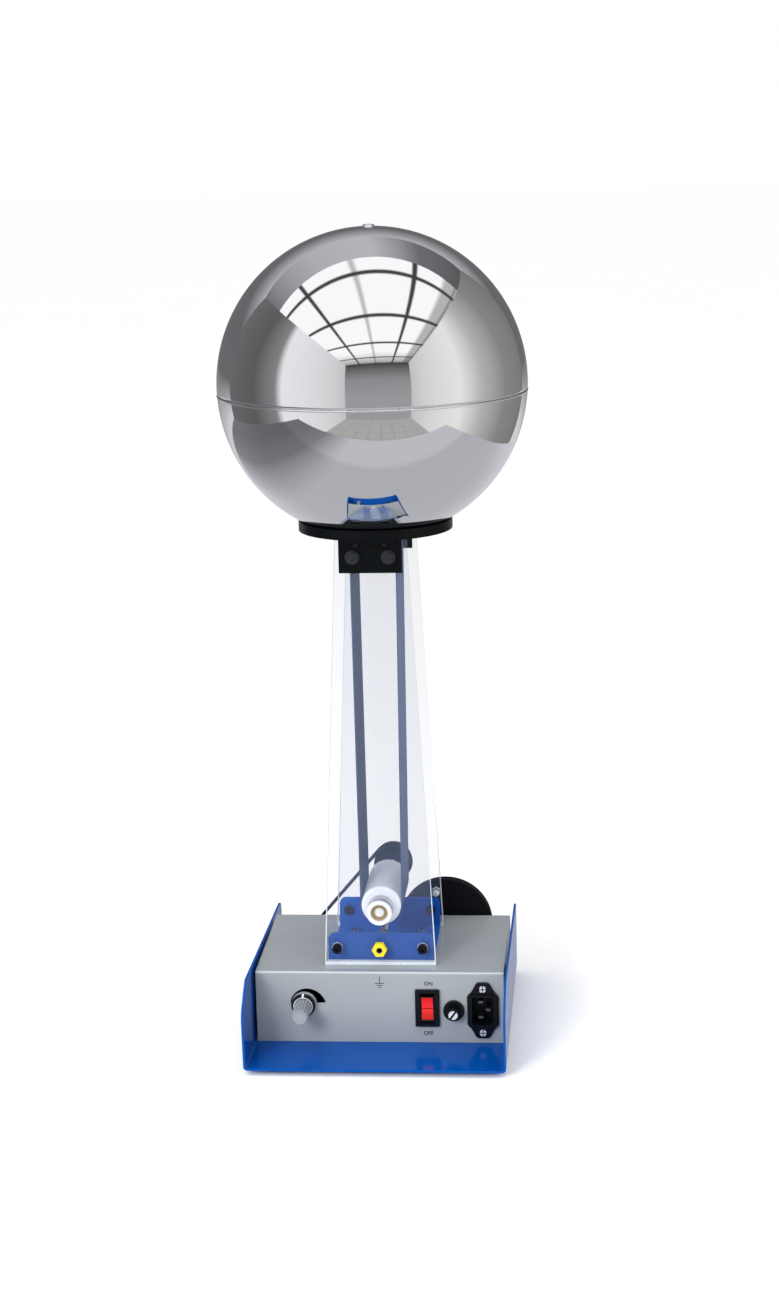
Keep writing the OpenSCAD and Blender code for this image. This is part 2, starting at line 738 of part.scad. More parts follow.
module tower_screws() {
    color("black") for (p = tower_screw_spots, dir = SIDES)
        cap_screw_y(p, dir * (face_y + washer_t), dir, head_r, head_l, tower_screw_r,
            washer_t + sheet_t + bracket_t + 5, 2.3);
}

module tower_washers() {
    color("silver") for (p = tower_screw_spots, y = [-face_y - washer_t, face_y])
        tube_y(p, y, y + washer_t, washer_r, tower_screw_r + fixed_fit);
}

module tower_nuts() {
    back = inner_y - bracket_t - fixed_fit;
    color("dimgray") {
        for (p = tower_screw_spots, y = [-back, back - 4])
            nut_y(p, y, y + 4, 8, tower_screw_r + fixed_fit);
        for (p = top_bolt_spots, y = [-inner_y, inner_y - 5])
            nut_y(p, y, y + 5, 10, top_bolt_r + fixed_fit);
    }
}

module dome_head_screw() {
    color("silver") {
        rod_y(dome_head_pos, inner_y - 2.4, face_y + 3, dome_head_r);
        translate([dome_head_pos[0], inner_y, dome_head_pos[1]]) rotate([90, 0, 0]) difference() {
            translate([0, 0, -1]) sphere(r = 3.4);
            translate([-5, -5, -6]) cube([10, 10, 6]);
        }
        nut_y(dome_head_pos, face_y, face_y + 3, 7, dome_head_r - 0.1);
    }
}

/* ---------- earth socket and lower comb ---------- */

socket_flats = 11.6;
socket_reach = 9;
socket_nut_t = 2.4;
sleeve_r = 2.9;
comb_rod_r = 2.5;
comb_reach = 46;
comb_y0 = -27;
comb_y1 = 37;
comb_tip_z = lower_z - lower_r - belt_gap - belt_t - 3.4;

module earth_socket() {
    front = -face_y - socket_reach;
    color("gold") difference() {
        union() {
            rod_y(earth_pos, front, front + 2, socket_flats / 2 - 0.4);
            translate([earth_pos[0], front + 1, earth_pos[1]]) rotate([-90, 0, 0])
                cylinder(h = socket_reach - socket_nut_t - body_gap - 1,
                    r = socket_flats / sqrt(3), $fn = 6);
        }
        rod_y(earth_pos, front - 1, -face_y, sleeve_r + fixed_fit);
    }
}

module earth_sleeve() {
    back = -inner_y + bracket_t + 12;
    color("silver") difference() {
        union() {
            rod_y(earth_pos, -face_y - socket_reach + 0.8, -face_y, sleeve_r);
            nut_y(earth_pos, -face_y - socket_nut_t, -face_y, 9, 1);
            rod_y(earth_pos, -face_y, back, socket_shank_r);
            nut_y(earth_pos, -inner_y + bracket_t + fixed_fit, -inner_y + bracket_t + 3, 10, 1);
        }
        rod_y(earth_pos, -face_y - socket_reach - 1, -face_y + 6, plug_d / 2);
        rod_y(earth_pos, back - 6, back + 1, comb_rod_r + fixed_fit);
    }
}

module comb_rod() {
    color("silver") rod_y(earth_pos, -inner_y + bracket_t + 6.5, comb_reach, comb_rod_r);
}

// Saw-toothed edge of a comb: teeth of one pitch from y0 to y1, tips at tip_z
function comb_edge(y0, y1, root_z, tip_z, pitch) =
    [for (i = [0:(y1 - y0) / pitch - 1]) each
        [[y0 + i * pitch, root_z], [y0 + (i + 0.5) * pitch, tip_z]]];

module lower_comb() {
    base_z = screw_z + comb_rod_r + 1;
    color("goldenrod") {
        difference() {
            union() {
                along_x(-0.5, 0.5) polygon(concat([[comb_y0, base_z - 1]],
                    comb_edge(comb_y0, comb_y1, comb_tip_z - 4, comb_tip_z, 4),
                    [[comb_y1, comb_tip_z - 4], [comb_y1, base_z - 1]]));
                for (y = [comb_y0 + 4, comb_y1 - 10]) rod_y(earth_pos, y, y + 6, comb_rod_r + 1.6);
            }
            rod_y(earth_pos, comb_y0 - 5, comb_y1 + 5, comb_rod_r + fixed_fit);
        }
    }
}

/* ---------- lower roller ---------- */

front_housing = [-face_y - 1.6, -face_y + 15];
rear_housing = [face_y - 7, face_y + 6];
bush_recess = 3;
shaft_back = drive_y + 9;
roller_front = roller_y - roller_l / 2;
roller_back = roller_y + roller_l / 2;

module bearing_housings() {
    color("white") for (span = [front_housing, rear_housing])
        tube_y(roller_pos, span[0], span[1], housing_d / 2, bush_d / 2);
}

module bearing_bushes() {
    color("peru") for (span = [front_housing, rear_housing])
        tube_y(roller_pos, span[0] + bush_recess, span[1] - 0.5, bush_d / 2 - fixed_fit,
            shaft_r + run_fit);
}

module lower_shaft() {
    color("silver") rod_y(roller_pos, front_housing[0] + bush_recess - 1, shaft_back, shaft_r);
}

// A roller with chamfered ends, drawn as a turned profile along Y
module roller(p, y0, y1, r, bore, chamfer) {
    translate([p[0], y0, p[1]]) rotate([-90, 0, 0]) rotate_extrude()
        polygon([[bore, 0], [r - chamfer, 0], [r, chamfer], [r, y1 - y0 - chamfer],
                 [r - chamfer, y1 - y0], [bore, y1 - y0]]);
}

module lower_roller() {
    color("white") roller(roller_pos, roller_front, roller_back, lower_r, shaft_r + fixed_fit, 2.5);
}

// A pulley turned with a round groove in its rim, for the round belt on radius pitch_r
module grooved_pulley(p, width, pitch_r, rim_r, bore) {
    translate([p[0], drive_y, p[1]]) rotate([-90, 0, 0]) rotate_extrude() difference() {
        translate([bore, -width / 2]) square([rim_r - bore, width]);
        translate([pitch_r, 0]) circle(cord_d / 2 + body_gap);
    }
}

module drive_pulley() {
    color("black") grooved_pulley(roller_pos, 16, drive_pulley_d / 2, drive_pulley_d / 2 + 0.2,
        shaft_r + fixed_fit);
}

/* ---------- belts ---------- */

module charge_belt() {
    in_low = lower_r + belt_gap;
    in_up = upper_r + belt_gap;
    a = [0, lower_z];
    b = [0, upper_z];
    color("lightsteelblue") along_y(roller_y - belt_w / 2, roller_y + belt_w / 2) difference() {
        polygon(belt_points(a, in_low + belt_t, b, in_up + belt_t));
        polygon(belt_points(a, in_low, b, in_up));
    }
}

// The round belt's centre line: two straight runs and an arc round each pulley
module drive_belt() {
    a = roller_pos;
    b = motor_pos;
    ra = drive_pulley_d / 2;
    rb = motor_pulley_d / 2;
    t = tangents(a, ra, b, rb);
    d = b - a;
    th = atan2(d[1], d[0]);
    ph = acos((ra - rb) / norm(d));
    color("darkslategray") {
        cord_run(t[0], t[1]);
        cord_run(t[3], t[2]);
        cord_arc(a, ra, th + ph, 360 - 2 * ph);
        cord_arc(b, rb, th - ph, 2 * ph);
    }
}

// A straight run of the round belt between two points in X and Z
module cord_run(p, q) {
    d = q - p;
    translate([p[0], drive_y, p[1]]) rotate([0, atan2(d[0], d[1]), 0])
        cylinder(h = norm(d), r = cord_d / 2);
}

// A bent stretch of the round belt; angles are counted from +X towards +Z
module cord_arc(p, r, start, sweep) {
    translate([p[0], drive_y, p[1]]) rotate([90, 0, 0]) rotate([0, 0, start])
        rotate_extrude(angle = sweep) translate([r, 0]) circle(cord_d / 2);
}

/* ---------- top of the tower ---------- */

top_plate_w = 54;
top_plate_t = 3;
top_plate_h = 28.8;
top_leg_w = 44;
top_leg_d = 4.4;
collar_screw_x = 12;
collar_screw_r = 1.5;
collar_screw_spots = [for (sx = SIDES, sy = SIDES)
    [sx * collar_screw_x, sy * (face_y + top_plate_t + 2.6)]];

module top_brackets() {
    color("black") for (sy = SIDES) difference() {
        union() {
            along_y(sy < 0 ? -face_y - top_plate_t : face_y, sy < 0 ? -face_y : face_y + top_plate_t)
                translate([0, collar_z - top_plate_h / 2]) polygon(rect(top_plate_w, top_plate_h));
            translate([-top_leg_w / 2, sy < 0 ? -face_y - top_plate_t - top_leg_d : face_y + 1,
                collar_z - 3]) cube([top_leg_w, top_leg_d + top_plate_t - 1, 3]);
        }
        for (p = top_bolt_spots) rod_y(p, -face_y - 10, face_y + 10, top_bolt_r + hole_play);
        for (p = collar_screw_spots) translate([p[0], p[1], collar_z - 6])
            cylinder(h = 12, r = collar_screw_r + hole_play);
    }
}

module top_bolts() {
    seat = face_y + top_plate_t;
    color("black") for (p = top_bolt_spots, dir = SIDES) {
        head_y = dir < 0 ? -seat - 5.2 : seat + 1.2;
        translate([p[0], head_y, p[1]]) rotate([-90, 20, 0])
            cylinder(h = 4, r = 10 / sqrt(3), $fn = 6);
        tube_y(p, dir < 0 ? -seat - 1.2 : seat, dir < 0 ? -seat : seat + 1.2, 6.2, top_bolt_r - 0.1);
        rod_y(p, dir < 0 ? -seat - 2 : seat - top_plate_t - sheet_t - 6,
            dir < 0 ? -seat + top_plate_t + sheet_t + 6 : seat + 2, top_bolt_r);
    }
}

module collar_screws() {
    color("black") for (p = collar_screw_spots) translate([p[0], p[1], collar_z]) {
        translate([0, 0, -5]) cylinder(h = 2, r = 2.6);
        translate([0, 0, -3]) cylinder(h = 3 + 3.5, r = collar_screw_r);
    }
}

module collar() {
    color("black") difference() {
        translate([0, 0, collar_z]) rotate_extrude() difference() {
            square([collar_r, collar_t]);
            translate([groove_in, collar_t - rim_sink - body_gap])
                square([groove_out - groove_in, rim_sink + 1]);
        }
        // slots for the tongues of the two sheets
        for (sy = SIDES) translate([-tongue_w / 2 - hole_play,
            sy * (face_y - sheet_t / 2) - sheet_t / 2 - hole_play, collar_z - 1])
            cube([tongue_w + 2 * hole_play, sheet_t + 2 * hole_play, collar_t + 2]);
        // opening for the belt
        translate([-upper_r - 8, -inner_y + 4, collar_z - 1])
            cube([2 * upper_r + 16, 2 * inner_y - 8, collar_t + 2]);
        for (p = collar_screw_spots) translate([p[0], p[1], collar_z - 1])
            cylinder(h = 5, r = collar_screw_r + fixed_fit);
    }
}

axle_nut_t = 2;

module upper_axle() {
    p = [0, upper_z];
    color("silver") {
        rod_y(p, -face_y - axle_nut_t, face_y + axle_nut_t, upper_axle_r);
        for (y = [-face_y - axle_nut_t, face_y]) nut_y(p, y, y + axle_nut_t, 8, upper_axle_r - 0.1);
        // spacers between the sheets and the roller's ends
        tube_y(p, -inner_y, roller_front - body_gap, 5, upper_axle_r - 0.1);
        tube_y(p, roller_back + body_gap, inner_y, 5, upper_axle_r - 0.1);
    }
}

module upper_roller() {
    color("whitesmoke") roller([0, upper_z], roller_front, roller_back, upper_r,
        upper_axle_r + run_fit, 2);
}

comb_bar_h = 6;

module upper_comb() {
    p = [0, comb_bar_z];
    color("goldenrod") {
        difference() {
            union() {
                translate([-2.5, -inner_y, comb_bar_z - comb_bar_h / 2])
                    cube([5, 2 * inner_y, comb_bar_h]);
                along_x(-0.5, 0.5) polygon(concat([[roller_y - 36, comb_bar_z]],
                    comb_edge(roller_y - 36, roller_y + 36, comb_bar_z - comb_bar_h / 2 - 0.5,
                        comb_bar_z - comb_bar_h / 2 - 3, 4),
                    [[roller_y + 36, comb_bar_z - comb_bar_h / 2 - 0.5],
                     [roller_y + 36, comb_bar_z]]));
            }
            for (y = [-inner_y - 1, inner_y - 9]) rod_y(p, y, y + 10, comb_screw_r + fixed_fit);
        }
        for (dir = SIDES) cap_screw_y(p, dir * (face_y + (dir < 0 ? strip_t : 0)), dir, 2.6, 1.6,
            comb_screw_r, sheet_t + (dir < 0 ? strip_t : 0) + 7);
    }
}

strip_t = 0.5;
strip_x = [5.5, 9.5];

module contact_strip() {
    y0 = -face_y - strip_t;
    color("goldenrod") difference() {
        union() {
            translate([strip_x[0], y0, collar_top]) cube([strip_x[1] - strip_x[0], strip_t,
                comb_bar_z + 3 - collar_top]);
            translate([-3, y0, comb_bar_z - 3]) cube([strip_x[1] + 3, strip_t, 6]);
            translate([strip_x[0], -face_y - 1.6, collar_top])
                cube([strip_x[1] - strip_x[0], 1.6, strip_t]);
        }
        rod_y([0, comb_bar_z], y0 - 1, -face_y + 1, comb_screw_r + hole_play);
    }
}

/* ---------- dome ---------- */

bead_r = 0.9;
bead_out = 0.5;
lap_h = 8;
lap_r = dome_r - dome_t - 0.8;
top_hole_r = 4.3;

// Profile of the spherical wall, kept between two heights
module dome_wall(z0, z1) {
    intersection() {
        difference() {
            circle(dome_r, $fn = 180);
            circle(dome_r - dome_t, $fn = 180);
        }
        translate([0, z0]) square([dome_r + 1, z1 - z0]);
    }
}

module lower_dome() {
    color("silver") translate([0, 0, dome_z]) rotate_extrude($fn = 180) {
        dome_wall(-rim_drop, -seam_drop);
        // rolled bead at the seam, and the inner ring that centres the upper half
        translate([sqrt(pow(dome_r, 2) - pow(seam_drop + bead_r, 2)) - bead_r + bead_out,
            -seam_drop - bead_r]) circle(bead_r, $fn = 24);
        intersection() {
            translate([lap_r - 1, -seam_drop - 14]) square([1, 14 + lap_h]);
            circle(dome_r, $fn = 180);
        }
    }
}

module upper_dome() {
    color("silver") translate([0, 0, dome_z]) rotate_extrude($fn = 180) difference() {
        dome_wall(-seam_drop + body_gap, dome_r + 1);
        translate([-1, dome_r / 2]) square([1 + top_hole_r + hole_play, dome_r]);
    }
}

socket_top_r = 4.3;

module top_socket() {
    top = dome_z + dome_r;
    color("silver") difference() {
        union() {
            translate([0, 0, top]) cylinder(h = 1.5, r1 = 5.2, r2 = socket_top_r);
            translate([0, 0, top - 14]) cylinder(h = 14, r = socket_top_r);
            translate([0, 0, top - dome_t - 3.4]) cylinder(h = 3, r = 10 / sqrt(3), $fn = 6);
        }
        translate([0, 0, top - 12]) cylinder(h = 20, r = plug_d / 2);
    }
}

/* ---------- motor ---------- */

motor_back = box_back - 13;
motor_front = motor_back - motor_l;
motor_shaft_r = 2.5;
motor_boss_r = 6.5;
motor_plate_t = 2.5;
motor_screw_spots = [for (sx = SIDES) motor_pos + [sx * 13, 0]];

module motor() {
    color("silver") difference() {
        union() {
            rod_y(motor_pos, motor_front, motor_back, motor_d / 2);
            rod_y(motor_pos, motor_back, motor_back + 6, motor_boss_r);
            rod_y(motor_pos, motor_front - 4, motor_front, motor_boss_r);
            for (sx = SIDES) translate([motor_pos[0] + sx * 12 - 2, motor_front - 7,
                motor_pos[1] - 0.4]) cube([4, 7, 0.8]);
        }
        rod_y(motor_pos, motor_front + 2, motor_back + 10, motor_shaft_r + run_fit);
        for (p = motor_screw_spots) rod_y(p, motor_back - 6, motor_back + 1, 1.6);
    }
}

module motor_bracket() {
    y0 = motor_back + fixed_fit;
    z0 = floor_z;
    half = motor_d / 2 - 1;
    color("lightgray") {
        difference() {
            union() {
                along_y(y0, y0 + motor_plate_t) translate([motor_pos[0], 0])
                    polygon(rounded([[-half, z0], [half, z0], [half, motor_pos[1] + 16],
                        [-half, motor_pos[1] + 16]], [0, 0, 6, 6]));
                translate([motor_pos[0] - half, y0 - 18, z0]) cube([2 * half, 18, 2]);
            }
            rod_y(motor_pos, y0 - 5, y0 + 8, motor_boss_r + fixed_fit);
            for (p = motor_screw_spots) rod_y(p, y0 - 5, y0 + 8, 1.6);
            for (p = motor_foot_spots) translate([p[0], p[1], z0 - 1])
                cylinder(h = 5, r = floor_screw_r + fixed_fit);
        }
        for (p = motor_screw_spots)
            cap_screw_y(p, y0 + motor_plate_t, 1, 2.8, 1.8, 1.5, motor_plate_t + 5);
    }
}

module motor_shaft() {
    color("silver") rod_y(motor_pos, motor_front + 3, drive_y + 7, motor_shaft_r);
}

module motor_pulley() {
    color("black") grooved_pulley(motor_pos, 12, motor_pulley_d / 2, motor_pulley_d / 2 + 0.6,
        motor_shaft_r + fixed_fit);
}

/* ---------- hand wheel ---------- */

wheel_bore = axle_r + run_fit;
hub_r = 11;
web_t = 5;
rim_in_r = wheel_d / 2 - 6.5;
crank_pos = wheel_pos - [0, wheel_d / 2 - crank_inset];
pin_r = 3;
knob_front_y = wheel_back + 1;

module wheel_axle() {
    in_y = box_back - box_t;
    color("silver") {
        rod_y(wheel_pos, in_y - 6, wheel_back + 3.5, axle_r);
        nut_y(wheel_pos, in_y - 4.5, in_y, 13, axle_r - 0.1);
        tube_y(wheel_pos, box_back, wheel_front - body_gap, 7, axle_r - 0.1);
        tube_y(wheel_pos, wheel_back + body_gap, wheel_back + 2, 7, axle_r - 0.1);
    }
}

module hand_wheel() {
    r = wheel_d / 2;
    color("black") difference() {
        translate([wheel_pos[0], wheel_front, wheel_pos[1]]) rotate([-90, 0, 0])
            rotate_extrude() difference() {
                polygon([[wheel_bore, 0], [r - 1, 0], [r, 1], [r, wheel_t - 1], [r - 1, wheel_t],
                    [rim_in_r, wheel_t], [rim_in_r, web_t], [hub_r, web_t], [hub_r, wheel_t],
                    [wheel_bore, wheel_t]]);
                translate([r + cord_d / 4, wheel_t / 2]) circle(cord_d / 2 + body_gap);
            }
        rod_y(crank_pos, wheel_front - 1, wheel_back + 1, pin_r - 0.5 + fixed_fit);
    }
}

module crank_pin() {
    seat = wheel_front + web_t;
    color("silver") {
        rod_y(crank_pos, wheel_front, seat, pin_r - 0.5);
        rod_y(crank_pos, seat, knob_front_y - body_gap, pin_r + 1.5);
        rod_y(crank_pos, knob_front_y - body_gap, knob_front_y + crank_knob_l - 6, pin_r);
    }
}

module crank_knob() {
    r = crank_knob_d / 2;
    l = crank_knob_l;
    color("black") translate([crank_pos[0], knob_front_y, crank_pos[1]]) rotate([-90, 0, 0])
        difference() {
            rotate_extrude() polygon(concat([[0, 0], [r * 0.72, 0], [r * 0.72, 2]],
                [for (i = [0:12]) let (a = i * 15) [r * 0.72 + r * 0.28 * sin(a), 2 + (l - 6) * i / 12]],
                [[r * 0.72, l - 4], [r * 0.5, l - 1], [0, l]]));
            translate([0, 0, -1]) cylinder(h = l - 4, r = pin_r + run_fit);
        }
}

/* ---------- control board ---------- */

module control_board() {
    color("darkgreen") difference() {
        translate([board_pos[0], board_pos[1], board_z]) cube(board);
        for (p = standoff_spots) translate([p[0], p[1], board_z - 1])
            cylinder(h = 4, r = 1.5 + hole_play);
    }
}

cap_spots = [[30, 30, 9, 30], [8, 34, 5, 14], [-4, 34, 5, 14]];
chip_spots = [[-20, -6, 14, 9, 6], [2, -10, 18, 14, 12], [-28, 18, 8, 20, 4]];
heatsink = [50, 2, 26];
heatsink_pos = [-30, 40];
fin = [1.6, 6];
fin_count = 8;
terminal = [22, 9, 10];
terminal_x = 26;
terminal_y = -9.5;
terminal_pitch = 5.5;
plug = [16, 6, 8];
plug_x = -34;

module board_parts() {
    color("dimgray") {
        for (p = standoff_spots) {
            tube_z(p, floor_z, board_z, 3, 1.4);
            translate([p[0], p[1], board_top]) cylinder(h = 2, r = 2.8);
            translate([p[0], p[1], board_z - 2.4]) cylinder(h = board_top - board_z + 2.4, r = 1.5);
        }
        for (c = cap_spots) translate([c[0], c[1], board_top]) cylinder(h = c[3], r = c[2]);
        for (b = chip_spots) translate([b[0], b[1], board_top]) cube([b[2], b[3], b[4]]);
        // finned heat sink
        translate([heatsink_pos[0], heatsink_pos[1], board_top]) cube(heatsink);
        for (i = [0:fin_count - 1])
            translate([heatsink_pos[0] + 1 + i * (heatsink[0] - 2 - fin[0]) / (fin_count - 1),
                heatsink_pos[1] + heatsink[1] / 2, board_top])
                cube([fin[0], fin[1], heatsink[2]]);
        // terminal block and the speed control's plug
        translate([terminal_x, terminal_y - terminal[1] / 2, board_top]) cube(terminal);
        translate([plug_x - 4, terminal_y - plug[1], board_top]) cube(plug);
    }
}

/* ---------- wiring ---------- */

// Points of a smooth curve through the way points
function smooth(p, steps) =
    let (n = len(p))
    [for (i = [0:n - 2], j = [0:steps - 1])
        let (t = j / steps, a = p[max(i - 1, 0)], b = p[i], c = p[i + 1], d = p[min(i + 2, n - 1)])
        0.5 * (2 * b + (c - a) * t + (2 * a - 5 * b + 4 * c - d) * t * t
            + (3 * b - a - 3 * c + d) * t * t * t),
     p[n - 1]];

lead_sides = 6;
lead_r = 1.1;
lead_gap = 0.3;

function tangent(p, i) =
    let (d = p[min(i + 1, len(p) - 1)] - p[max(i - 1, 0)]) d / norm(d);

// Side directions along a curve: each is the last one turned as little as the bend allows
function sides(p, i, u) = i == len(p) ? []
    : let (t = tangent(p, i), v = u - (u * t) * t, w = v / norm(v)) concat([w], sides(p, i + 1, w));

// A round lead swept through the way points
module lead(way) {
    p = smooth(way, 4);
    n = len(p);
    u = sides(p, 0, [0.61, 0.35, 0.71]);
    rings = [for (i = [0:n - 1], k = [0:lead_sides - 1])
        let (a = k * 360 / lead_sides, v = cross(tangent(p, i), u[i]))
        p[i] + lead_r * (u[i] * cos(a) + v * sin(a))];
    last = (n - 1) * lead_sides;
    polyhedron(points = rings, faces = concat(
        [[for (k = [0:lead_sides - 1]) k]],
        [[for (k = [lead_sides - 1:-1:0]) last + k]],
        [for (i = [0:n - 2], k = [0:lead_sides - 1])
            let (a = i * lead_sides + k, b = i * lead_sides + (k + 1) % lead_sides)
            each [[a, a + lead_sides, b + lead_sides], [a, b + lead_sides, b]]]));
}

// Where the leads end, each lead_gap clear of its terminal
function at_y(p, y) = [p[0], y, p[1]];
BACK = [0, 8, 0];
UP = [0, 0, 8];
inlet_end_y = -box_front + inlet_depth + tab_out + lead_gap;
switch_end_y = -box_front + switch_depth + 8 + lead_gap;
switch_end = [for (x = [4, -4], z = [-8, 8]) at_y(switch_pos + [x, z], switch_end_y)];
fuse_end = at_y(fuse_pos, -box_front + fuse_holder_l + 6 + lead_gap);
fuse_side = [fuse_pos[0], -box_front + fuse_holder_l - 4, fuse_pos[1] + fuse_body_r + 7 + lead_gap];
motor_end = [for (sx = SIDES) at_y(motor_pos + [sx * 12, 0], motor_front - 7 - lead_gap)];
block_end = [for (i = [0:3]) [terminal_x + 2.75 + i * terminal_pitch, terminal_y,
    board_top + terminal[2] + lead_gap]];
plug_end = [for (i = [0:2]) [plug_x + i * 4, terminal_y - plug[1] / 2, board_top + plug[2] + lead_gap]];
pot_end = [for (x = [-5, 0, 5]) [pot_pos[0] + x, -box_front + box_t + 3.4,
    pot_pos[1] - pot_r - 6 - lead_gap]];
earth_end = [30, -30, box_in_top - 5 - lead_gap];

module wiring() {
    neutral = at_y(pin_spots[0], inlet_end_y);
    live = at_y(pin_spots[1], inlet_end_y);
    earth = at_y(pin_spots[2], inlet_end_y);
    color("saddlebrown") {
        lead([live, live + BACK, fuse_end + BACK + [6, 2, 2], fuse_end + BACK, fuse_end]);
        lead([fuse_side, fuse_side + [0, 2, 7], fuse_side + [-10, 14, 6], switch_end[1] + BACK,
            switch_end[1]]);
        for (i = [0, 1]) lead([switch_end[2 + i], switch_end[2 + i] + BACK,
            block_end[2 + i] + UP + [0, -6, 2], block_end[2 + i] + [0, 0, 5], block_end[2 + i]]);
    }
    color("royalblue") {
        lead([neutral, neutral + BACK, switch_end[0] + BACK, switch_end[0]]);
        for (i = [0, 1]) lead([block_end[i], block_end[i] + UP + [0, -1, 3 * i],
            [2 + 4 * i, -16 - 3 * i, 42 + 6 * i], [-48, -18 - 5 * i, 42 + 6 * i],
            motor_end[1 - i] - BACK, motor_end[1 - i]]);
        for (i = [0:2]) lead([pot_end[i], pot_end[i] - UP, [pot_end[i][0] + 14, -42, 15],
            [plug_end[i][0], -22, 28], plug_end[i] + UP, plug_end[i]]);
    }
    color("green") lead([earth, earth + BACK, [80, -22, 54], [46, -22, 58],
        earth_end - [0, 0, 6], earth_end]);
}

base_tray();
rubber_feet();
control_box();
floor_screws();
power_inlet();
inlet_pins();
inlet_screws();
fuse_holder();
fuse_cap();
fuse_glass();
fuse_ends();
switch_body();
switch_rocker();
speed_pot();
pot_nut();
pot_shaft();
knob_skirt();
speed_knob();
foot_bracket();
bracket_bolts();
front_sheet();
rear_sheet();
tower_screws();
tower_washers();
tower_nuts();
dome_head_screw();
earth_socket();
earth_sleeve();
comb_rod();
lower_comb();
bearing_housings();
bearing_bushes();
lower_shaft();
lower_roller();
drive_pulley();
charge_belt();
drive_belt();
top_brackets();
top_bolts();
collar_screws();
collar();
upper_axle();
upper_roller();
upper_comb();
contact_strip();
lower_dome();
upper_dome();
top_socket();
motor();
motor_bracket();
motor_shaft();
motor_pulley();
wheel_axle();
hand_wheel();
crank_pin();
crank_knob();
control_board();
board_parts();
wiring();
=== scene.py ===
# %% [markdown]
# # A classroom Van de Graaff generator
# The real machine is a mirror-polished hollow dome on a clear tapered tower. A motor in the
# grey box turns the lower roller, a rubber belt carries charge up to the dome, and a hand
# wheel at the back does the same work without mains. The fixed frame below holds every solid
# piece in its true place, in metres. This lesson gives those pieces their finishes, and builds
# the few pieces whose shape a mirror, a print or a moulded edge asks more of.

# %% Load the frame and note its size
import json
import math

import bmesh
import bpy
from mathutils import Matrix, Vector


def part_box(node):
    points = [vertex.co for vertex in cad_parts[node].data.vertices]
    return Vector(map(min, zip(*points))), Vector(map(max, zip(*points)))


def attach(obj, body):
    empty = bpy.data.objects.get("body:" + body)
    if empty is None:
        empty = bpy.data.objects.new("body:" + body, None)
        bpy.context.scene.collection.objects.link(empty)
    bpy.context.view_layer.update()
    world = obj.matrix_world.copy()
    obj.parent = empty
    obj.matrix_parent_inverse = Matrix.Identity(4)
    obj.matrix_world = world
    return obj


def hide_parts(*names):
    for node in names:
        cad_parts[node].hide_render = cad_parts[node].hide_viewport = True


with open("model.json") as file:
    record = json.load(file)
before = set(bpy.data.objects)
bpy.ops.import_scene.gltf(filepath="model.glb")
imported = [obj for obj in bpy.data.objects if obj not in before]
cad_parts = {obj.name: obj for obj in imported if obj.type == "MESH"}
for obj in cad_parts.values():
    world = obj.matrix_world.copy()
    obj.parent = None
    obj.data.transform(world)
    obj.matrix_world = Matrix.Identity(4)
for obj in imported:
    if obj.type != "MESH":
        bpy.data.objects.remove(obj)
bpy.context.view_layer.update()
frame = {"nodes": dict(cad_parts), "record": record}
nodes = frame["nodes"]

# %% [markdown]
# ## The camera
# The photograph was taken from a little over the panel's height and to its right. A camera
# fitted to the corners of the tray, box and tower gives these numbers. Blender turns a focal
# length in pixels into millimetres through the sensor size, which for an upright picture is
# that of the long side.

# %% Camera at the photograph's place
PICTURE = (779, 1305)
FOCAL_PIXELS = 2600
SENSOR = 36
EYE = Vector((0.2019, -2.2086, 0.8445))
YAW, PITCH, ROLL = math.radians(-4.98), math.radians(12.84), math.radians(-1.34)


def camera_axes(yaw, pitch, roll):
    """Right, up and forward of a camera that looks along +Y when all three angles are zero."""
    forward = Vector((math.sin(yaw) * math.cos(pitch), math.cos(yaw) * math.cos(pitch), -math.sin(pitch)))
    right = Vector((math.cos(yaw), -math.sin(yaw), 0))
    up = right.cross(forward)
    return (math.cos(roll) * right + math.sin(roll) * up,
            math.cos(roll) * up - math.sin(roll) * right, forward)


right, up, forward = camera_axes(YAW, PITCH, ROLL)
lens = bpy.data.cameras.new("photo_camera")
lens.sensor_width = SENSOR
lens.lens = FOCAL_PIXELS * SENSOR / max(PICTURE)
camera = bpy.data.objects.new("photo_camera", lens)
camera.matrix_world = Matrix.Translation(EYE) @ Matrix((right, up, -forward)).transposed().to_4x4()
bpy.context.scene.collection.objects.link(camera)
bpy.context.scene.camera = camera
print("lens", round(lens.lens, 2), "mm at", [round(v, 3) for v in EYE])

# %% [markdown]
# ## Shader maths as plain sums
# A material in Blender is a graph of nodes. Written link by link, a simple sum takes many
# lines, so a small class wraps a node's output and lets Python's own signs add the Math nodes.
# Its method node makes any other node from its type, its settings and its inputs.


